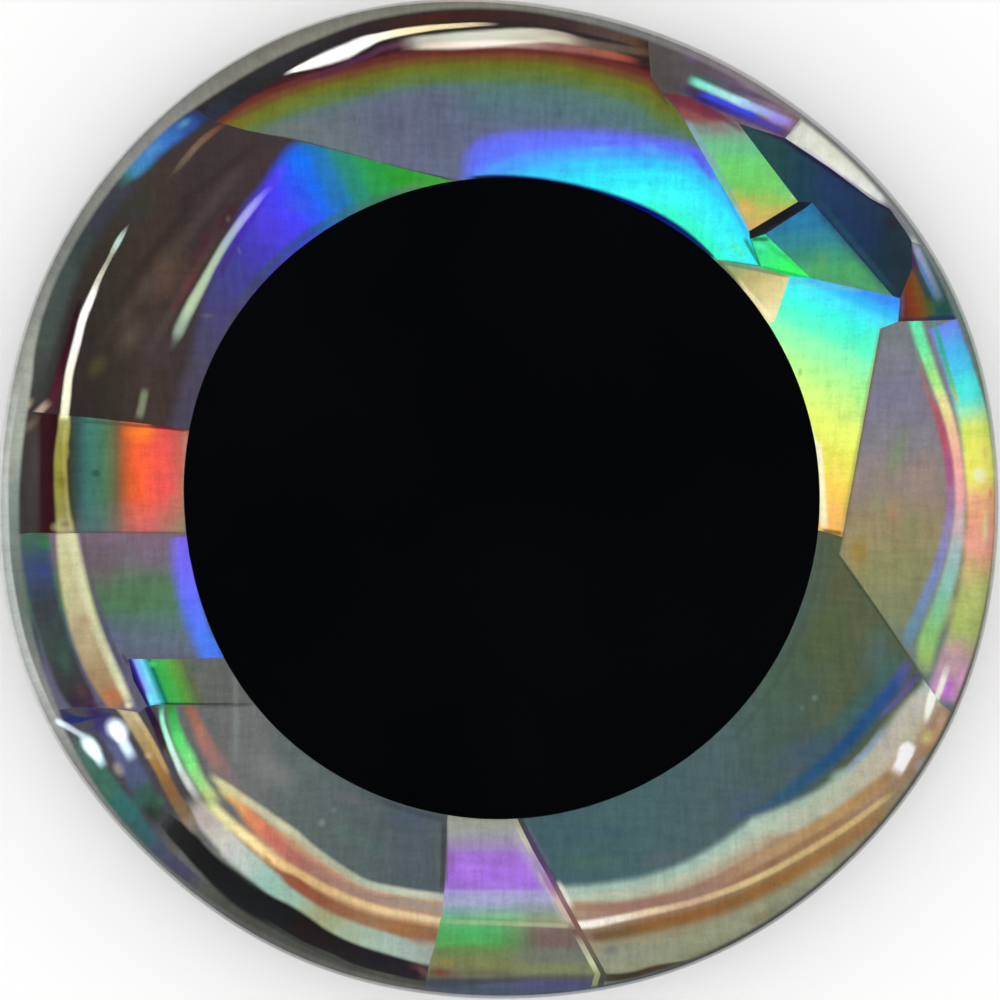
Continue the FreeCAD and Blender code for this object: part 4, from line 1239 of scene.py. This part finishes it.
def between(a, b):
    """Points strictly between two corners, the same whichever way it is asked."""
    if is_ring(a) and is_ring(b) and a[0] == b[0]:
        lo, hi = float(a[1:]), float(b[1:])
        back = lo > hi
        if back:
            lo, hi = hi, lo
        pts = []
        for d in rim_points(lo, hi):
            t = math.radians(d % 360)
            r = R_IN if a[0] == "p" else FILM_R * float(outline(t))
            pts.append((r * math.cos(t), r * math.sin(t)))
        return pts[::-1] if back else pts
    if is_ring(a) or is_ring(b):
        ring, other = (a, b) if is_ring(a) else (b, a)
        pts = []
        if ring[0] == "r":
            # from the corner out to the last radius that the lens shows, then on
            x, y = place(other)
            t = math.radians(float(ring[1:]) % 360)
            r = RIM_SEEN * float(outline(t))
            pts = [(x + (r * math.cos(t) - x) * k / 4, y + (r * math.sin(t) - y) * k / 4) for k in (1, 2, 3, 4)]
        return pts if ring == b else pts[::-1]
    first, last = sorted((a, b))
    (x0, y0), (x1, y1) = POINTS[first], POINTS[last]
    n = max(1, int(math.hypot(x1 - x0, y1 - y0) / 8))
    pts = [film_point(x0 + (x1 - x0) * k / n, y0 + (y1 - y0) * k / n) for k in range(1, n)]
    return pts if first == a else pts[::-1]


def build_film(mats):
    verts, index, faces, slot = [], {}, [], []

    def vid(x, y, z):
        key = (round(x, 5), round(y, 5), round(z, 5))
        if key not in index:
            index[key] = len(verts)
            verts.append((x, y, z))
        return index[key]

    names = list(mats)
    inner, outer = {}, {}
    for name, spec in PATCHES.items():
        tokens = spec.split()
        ring = []
        for a, b in zip(tokens, tokens[1:] + tokens[:1]):
            ring.append(place(a))
            # the shard that holds the closing arc of the ring
            if is_ring(a) and is_ring(b) and a[0] == b[0]:
                ring += between(a, b)
            else:
                ring += between(a, b)
        ids = []
        for x, y in ring:
            v = vid(x, y, Z_FILM)
            if not ids or ids[-1] != v:
                ids.append(v)
        if ids[0] == ids[-1]:
            ids.pop()
        area = sum(verts[a][0] * verts[b][1] - verts[b][0] * verts[a][1] for a, b in zip(ids, ids[1:] + ids[:1]))
        if area < 0:
            ids.reverse()
        faces.append(ids)
        slot.append(names.index(name if name in mats else "plain"))
    for i, (x, y, z) in enumerate(verts):
        rr, t = math.hypot(x, y), math.atan2(y, x) % (2 * math.pi)
        if abs(rr - R_IN) < 1e-4:
            inner[round(t, 6)] = i
        elif abs(rr - FILM_R * float(outline(t))) < 1e-4:
            outer[round(t, 6)] = i
    faces.append([inner[k] for k in sorted(inner)])
    slot.append(names.index("plain"))
    top = [outer[k] for k in sorted(outer)]
    low = [vid(verts[i][0], verts[i][1], Z_ADH) for i in top]
    n = len(top)
    for k in range(n):
        j = (k + 1) % n
        faces.append([top[k], low[k], low[j], top[j]])
        slot.append(names.index("edge"))
    faces.append(low[::-1])
    slot.append(names.index("edge"))
    ob = new_object("holographic_foil_disc", verts, faces, list(mats.values()), slot)
    # the map used when the foil is baked: most of it for the face that shows
    uv = ob.data.uv_layers.new(name="OFBake").data
    for p in ob.data.polygons:
        up, flat = p.normal.z > 0.5, abs(p.normal.z) > 0.5
        mid = math.atan2(p.center.y, p.center.x) % (2 * math.pi)
        for li in p.loop_indices:
            x, y, z = (c / MM for c in ob.data.vertices[ob.data.loops[li].vertex_index].co)
            if flat:
                c, k = (0.5, 0.47) if up else (0.095, 0.085)
                uv[li].uv = (c + x / R * k, c + y / R * k)
            else:
                a = math.atan2(y, x) % (2 * math.pi)
                a += 2 * math.pi * round((mid - a) / (2 * math.pi))
                uv[li].uv = (0.905 + 0.08 * a / (2 * math.pi), 0.03 + 0.02 * (z - Z_ADH) / (Z_FILM - Z_ADH))
    # every edge should join two faces
    count = {}
    for p in ob.data.polygons:
        for e in p.edge_keys:
            count[e] = count.get(e, 0) + 1
    bad = [e for e, c in count.items() if c != 2]
    print("foil: %d faces, %d verts, %d open edges" % (len(faces), len(verts), len(bad)))
    for e in bad[:12]:
        print("   open", [tuple(round(c, 4) for c in verts[i]) for i in e])
    return ob


def revolve(name, rings, mats, slots, closed_top=True, closed_low=True, hard=(), wander=True, ns=NS):
    """Rings of (radius, z) from the top down, as a closed surface of
    revolution that follows the pour's outline."""
    verts, faces, index, smooth = [], [], [], []
    ang = [2 * math.pi * k / ns for k in range(ns)]
    s = [float(outline(a)) if wander else 1.0 for a in ang]
    start = 0
    if closed_top:
        verts.append((0, 0, rings[0][1]))
        start = 1
    for r, z in rings:
        verts += [(r * s[k] * math.cos(ang[k]), r * s[k] * math.sin(ang[k]), z) for k in range(ns)]
    if closed_top:
        for k in range(ns):
            faces.append((0, start + k, start + (k + 1) % ns))
            index.append(slots(0)); smooth.append(True)
    for i in range(len(rings) - 1):
        a, b = start + i * ns, start + (i + 1) * ns
        for k in range(ns):
            j = (k + 1) % ns
            faces.append((a + k, b + k, b + j, a + j))
            index.append(slots(i)); smooth.append(True)
    if closed_low:
        a = start + (len(rings) - 1) * ns
        faces.append([a + k for k in range(ns)][::-1])
        index.append(slots(len(rings) - 1)); smooth.append(False)
    ob = new_object(name, verts, faces, mats, index, smooth)
    if hard:
        me = ob.data
        sharp = set()
        for i in hard:
            a = start + i * ns
            for k in range(ns):
                sharp.add(tuple(sorted((a + k, a + (k + 1) % ns))))
        for e in me.edges:
            if tuple(sorted(e.vertices)) in sharp:
                e.use_edge_sharp = True
    return ob


# ---- the lens ---------------------------------------------------------------
def build_lens():
    m, t, p = material("clear_cast_resin")
    p.inputs["Base Color"].default_value = (0.985, 0.99, 0.985, 1)
    p.inputs["Transmission Weight"].default_value = 1.0
    p.inputs["IOR"].default_value = IOR
    p.inputs["Roughness"].default_value = 0.0
    co = t.node("ShaderNodeTexCoord")
    n = t.node("ShaderNodeTexNoise")
    n.inputs["Scale"].default_value = 700
    n.inputs["Detail"].default_value = 2
    t.t.links.new(co.outputs["Object"], n.inputs["Vector"])
    b = t.node("ShaderNodeBump")
    b.inputs["Strength"].default_value = 0.06
    b.inputs["Distance"].default_value = 0.00004
    t.t.links.new(n.outputs[0], b.inputs["Height"])
    t.t.links.new(b.outputs[0], p.inputs["Normal"])
    wanted = list(np.linspace(0.25, 4.0, 12))
    rr = [float(v) for v in wanted]
    rings = [(v, float(np.interp(v, PR, PZ))) for v in rr]
    # even steps of slope over the shoulder
    for deg in np.concatenate([np.arange(9, 30, 1.0), np.arange(30, 90.01, 1.0)]):
        a = math.radians(deg)
        r, z = float(np.interp(a, PP, PR)), float(np.interp(a, PP, PZ))
        if r > rings[-1][0] + 0.004:
            rings.append((r, z))
    rings[-1] = (R, WAIST_1)
    for k in range(1, 5):
        rings.append((R, WAIST_1 + (WAIST_0 - WAIST_1) * k / 4))
    inset, drop_h = R - FILM_R, WAIST_0 - Z_FILM
    rho = (inset ** 2 + drop_h ** 2) / (2 * inset)
    for k in range(1, 9):
        a = math.asin(drop_h / rho) * k / 8
        rings.append((R - rho + rho * math.cos(a), WAIST_0 - rho * math.sin(a)))
    rings.append((FILM_R - 0.006, Z_FILM - 0.010))
    ob = revolve("resin_lens", rings, [m], lambda i: 0, hard=(len(rings) - 1,))
    return ob


def build_print():
    m, t, p = material("printed_black")
    co = t.node("ShaderNodeTexCoord")
    n = t.node("ShaderNodeTexNoise")
    n.inputs["Scale"].default_value = 260
    n.inputs["Detail"].default_value = 3
    t.t.links.new(co.outputs["Object"], n.inputs["Vector"])
    c = t.ramp(n.outputs[0], 0.3, 0.7, [(0.3, (0.0007, 0.0009, 0.0012, 1)), (0.7, (0.0017, 0.0022, 0.0029, 1))])
    t.put(p.inputs["Base Color"], c)
    p.inputs["Roughness"].default_value = 0.6
    p.inputs["Specular IOR Level"].default_value = 0.0
    rings = [(0.8, Z_PRINT), (2.4, Z_PRINT), (3.8, Z_PRINT), (PUPIL_R - 0.05, Z_PRINT), (PUPIL_R - 0.01, Z_PRINT - 0.002),
             (PUPIL_R, Z_PRINT - 0.006), (PUPIL_R, Z_FILM - 0.004)]
    ob = revolve("pupil_ink", rings, [m], lambda i: 0, hard=(len(rings) - 1,), wander=False, ns=256)
    for v in ob.data.vertices:               # the print is a touch flat on the left
        a = (math.degrees(math.atan2(v.co.y, v.co.x)) % 360 - 187) / 26
        k = 1 - 0.017 * math.exp(-a * a)
        v.co.x, v.co.y = v.co.x * k, v.co.y * k
    return ob


def build_adhesive():
    m, t, p = material("milky_adhesive")
    co = t.node("ShaderNodeTexCoord")
    n = t.node("ShaderNodeTexNoise")
    n.inputs["Scale"].default_value = 900
    n.inputs["Detail"].default_value = 4
    t.t.links.new(co.outputs["Object"], n.inputs["Vector"])
    c = t.ramp(n.outputs[0], 0.3, 0.7, [(0.3, (0.50, 0.51, 0.49, 1)), (0.7, (0.66, 0.66, 0.63, 1))])
    t.put(p.inputs["Base Color"], c)
    p.inputs["Roughness"].default_value = 0.5
    b = t.node("ShaderNodeBump")
    b.inputs["Strength"].default_value = 0.3
    b.inputs["Distance"].default_value = 0.00002
    t.t.links.new(n.outputs[0], b.inputs["Height"])
    t.t.links.new(b.outputs[0], p.inputs["Normal"])
    rings = [(3.0, Z_ADH), (FILM_R - 0.03, Z_ADH), (FILM_R - 0.012, Z_ADH - 0.012), (FILM_R - 0.008, 0.02), (FILM_R - 0.02, 0.0)]
    return revolve("adhesive_layer", rings, [m], lambda i: 0, hard=(1, len(rings) - 1))


def edge_material():
    m, t, p = material("film_edge")
    co = t.node("ShaderNodeTexCoord")
    n = t.node("ShaderNodeTexNoise")
    n.inputs["Scale"].default_value = 1500
    t.t.links.new(co.outputs["Object"], n.inputs["Vector"])
    c = t.ramp(n.outputs[0], 0.3, 0.7, [(0.3, (0.42, 0.43, 0.43, 1)), (0.7, (0.62, 0.63, 0.63, 1))])
    t.put(p.inputs["Base Color"], c)
    p.inputs["Metallic"].default_value = 0.6
    p.inputs["Roughness"].default_value = 0.4
    return m


# ---- the studio's shell: soft lights that only the lens's gloss shows --------
def build_shell():
    m = bpy.data.materials.new("studio_lights")
    m.use_nodes = True
    m.node_tree.nodes.clear()
    m.cycles.emission_sampling = "NONE"
    t = Tree(m.node_tree)
    out = t.node("ShaderNodeOutputMaterial")
    em = t.node("ShaderNodeEmission")
    m.node_tree.links.new(em.outputs[0], out.inputs[0])
    f = Lights(t)
    studio(f)
    t.put(em.inputs[0], f.colour)
    em.inputs[1].default_value = 1.0
    rings = [(SHELL_R * math.sin(math.radians(b)), SHELL_R * math.cos(math.radians(b))) for b in range(2, 90, 2)]
    rings.append((SHELL_R, 0.0))
    ob = revolve("studio_shell", rings, [m], lambda i: 0, closed_low=False, wander=False, ns=180)
    ob.visible_camera = ob.visible_diffuse = ob.visible_transmission = False
    ob.visible_volume_scatter = ob.visible_shadow = False


# ---- the set: floor, sky, lights, camera ------------------------------------
def build_set():
    sc = bpy.context.scene
    sc.view_settings.view_transform = "Standard"
    sc.view_settings.look = "None"
    s = 2500.0
    m, t, p = material("pale_floor")
    co = t.node("ShaderNodeTexCoord")
    n = t.node("ShaderNodeTexNoise")
    n.inputs["Scale"].default_value = 60
    t.t.links.new(co.outputs["Object"], n.inputs["Vector"])
    c = t.ramp(n.outputs[0], 0.3, 0.7, [(0.3, (0.635, 0.635, 0.632, 1)), (0.7, (0.655, 0.655, 0.652, 1))])
    t.put(p.inputs["Base Color"], c)
    p.inputs["Roughness"].default_value = 0.9
    p.inputs["Specular IOR Level"].default_value = 0.0
    floor = new_object("floor", [(-s, -s, -0.003), (s, -s, -0.003), (s, s, -0.003), (-s, s, -0.003)], [(0, 1, 2, 3)], [m])

    w = bpy.data.worlds.new("soft_sky")
    sc.world = w
    w.use_nodes = True
    w.node_tree.nodes.clear()
    t = Tree(w.node_tree)
    out = t.node("ShaderNodeOutputWorld")
    bg = t.node("ShaderNodeBackground")
    w.node_tree.links.new(bg.outputs[0], out.inputs[0])
    co = t.node("ShaderNodeTexCoord")
    sep = t.node("ShaderNodeSeparateXYZ")
    w.node_tree.links.new(co.outputs["Generated"], sep.inputs[0])
    tilt = t.math("MULTIPLY", t.math("ARCCOSINE", sep.outputs[2]), 180 / math.pi)      # degrees from overhead
    base = t.ramp(tilt, 0, 180, [(p_, (v, v, v, 1)) for p_, v in SKY], "LINEAR")
    w.node_tree.links.new(base, bg.inputs[0])
    bg.inputs[1].default_value = SKY_GAIN
    w.cycles_visibility.glossy = False       # the lens mirrors the shell instead
    build_shell()

    cam = bpy.data.cameras.new("camera")
    ob = bpy.data.objects.new("camera", cam)
    sc.collection.objects.link(ob)
    cam.lens, cam.sensor_width = LENS, SENSOR
    cam.clip_start, cam.clip_end = 0.001, 10
    ob.location = ((500 - CX) * PX * MM, (CY - 500) * PX * MM, CAM_Z * MM)
    sc.camera = ob


SKY = [(0, 1.0), (60, 1.0), (80, 0.92), (92, 0.9), (180, 0.9)]
SKY_GAIN = 1.6

build_set()
mats = shards()
mats["edge"] = edge_material()
film = build_film(mats)
lens = build_lens()
ink = build_print()
glue = build_adhesive()
for ob, node, slot_ in ((film, "holographic_film", "holographic_foil"), (lens, "resin_dome", "clear_resin"),
                        (ink, "pupil_print", "black_ink"), (glue, "adhesive_backing", "adhesive")):
    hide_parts(node)
    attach(ob, "root")
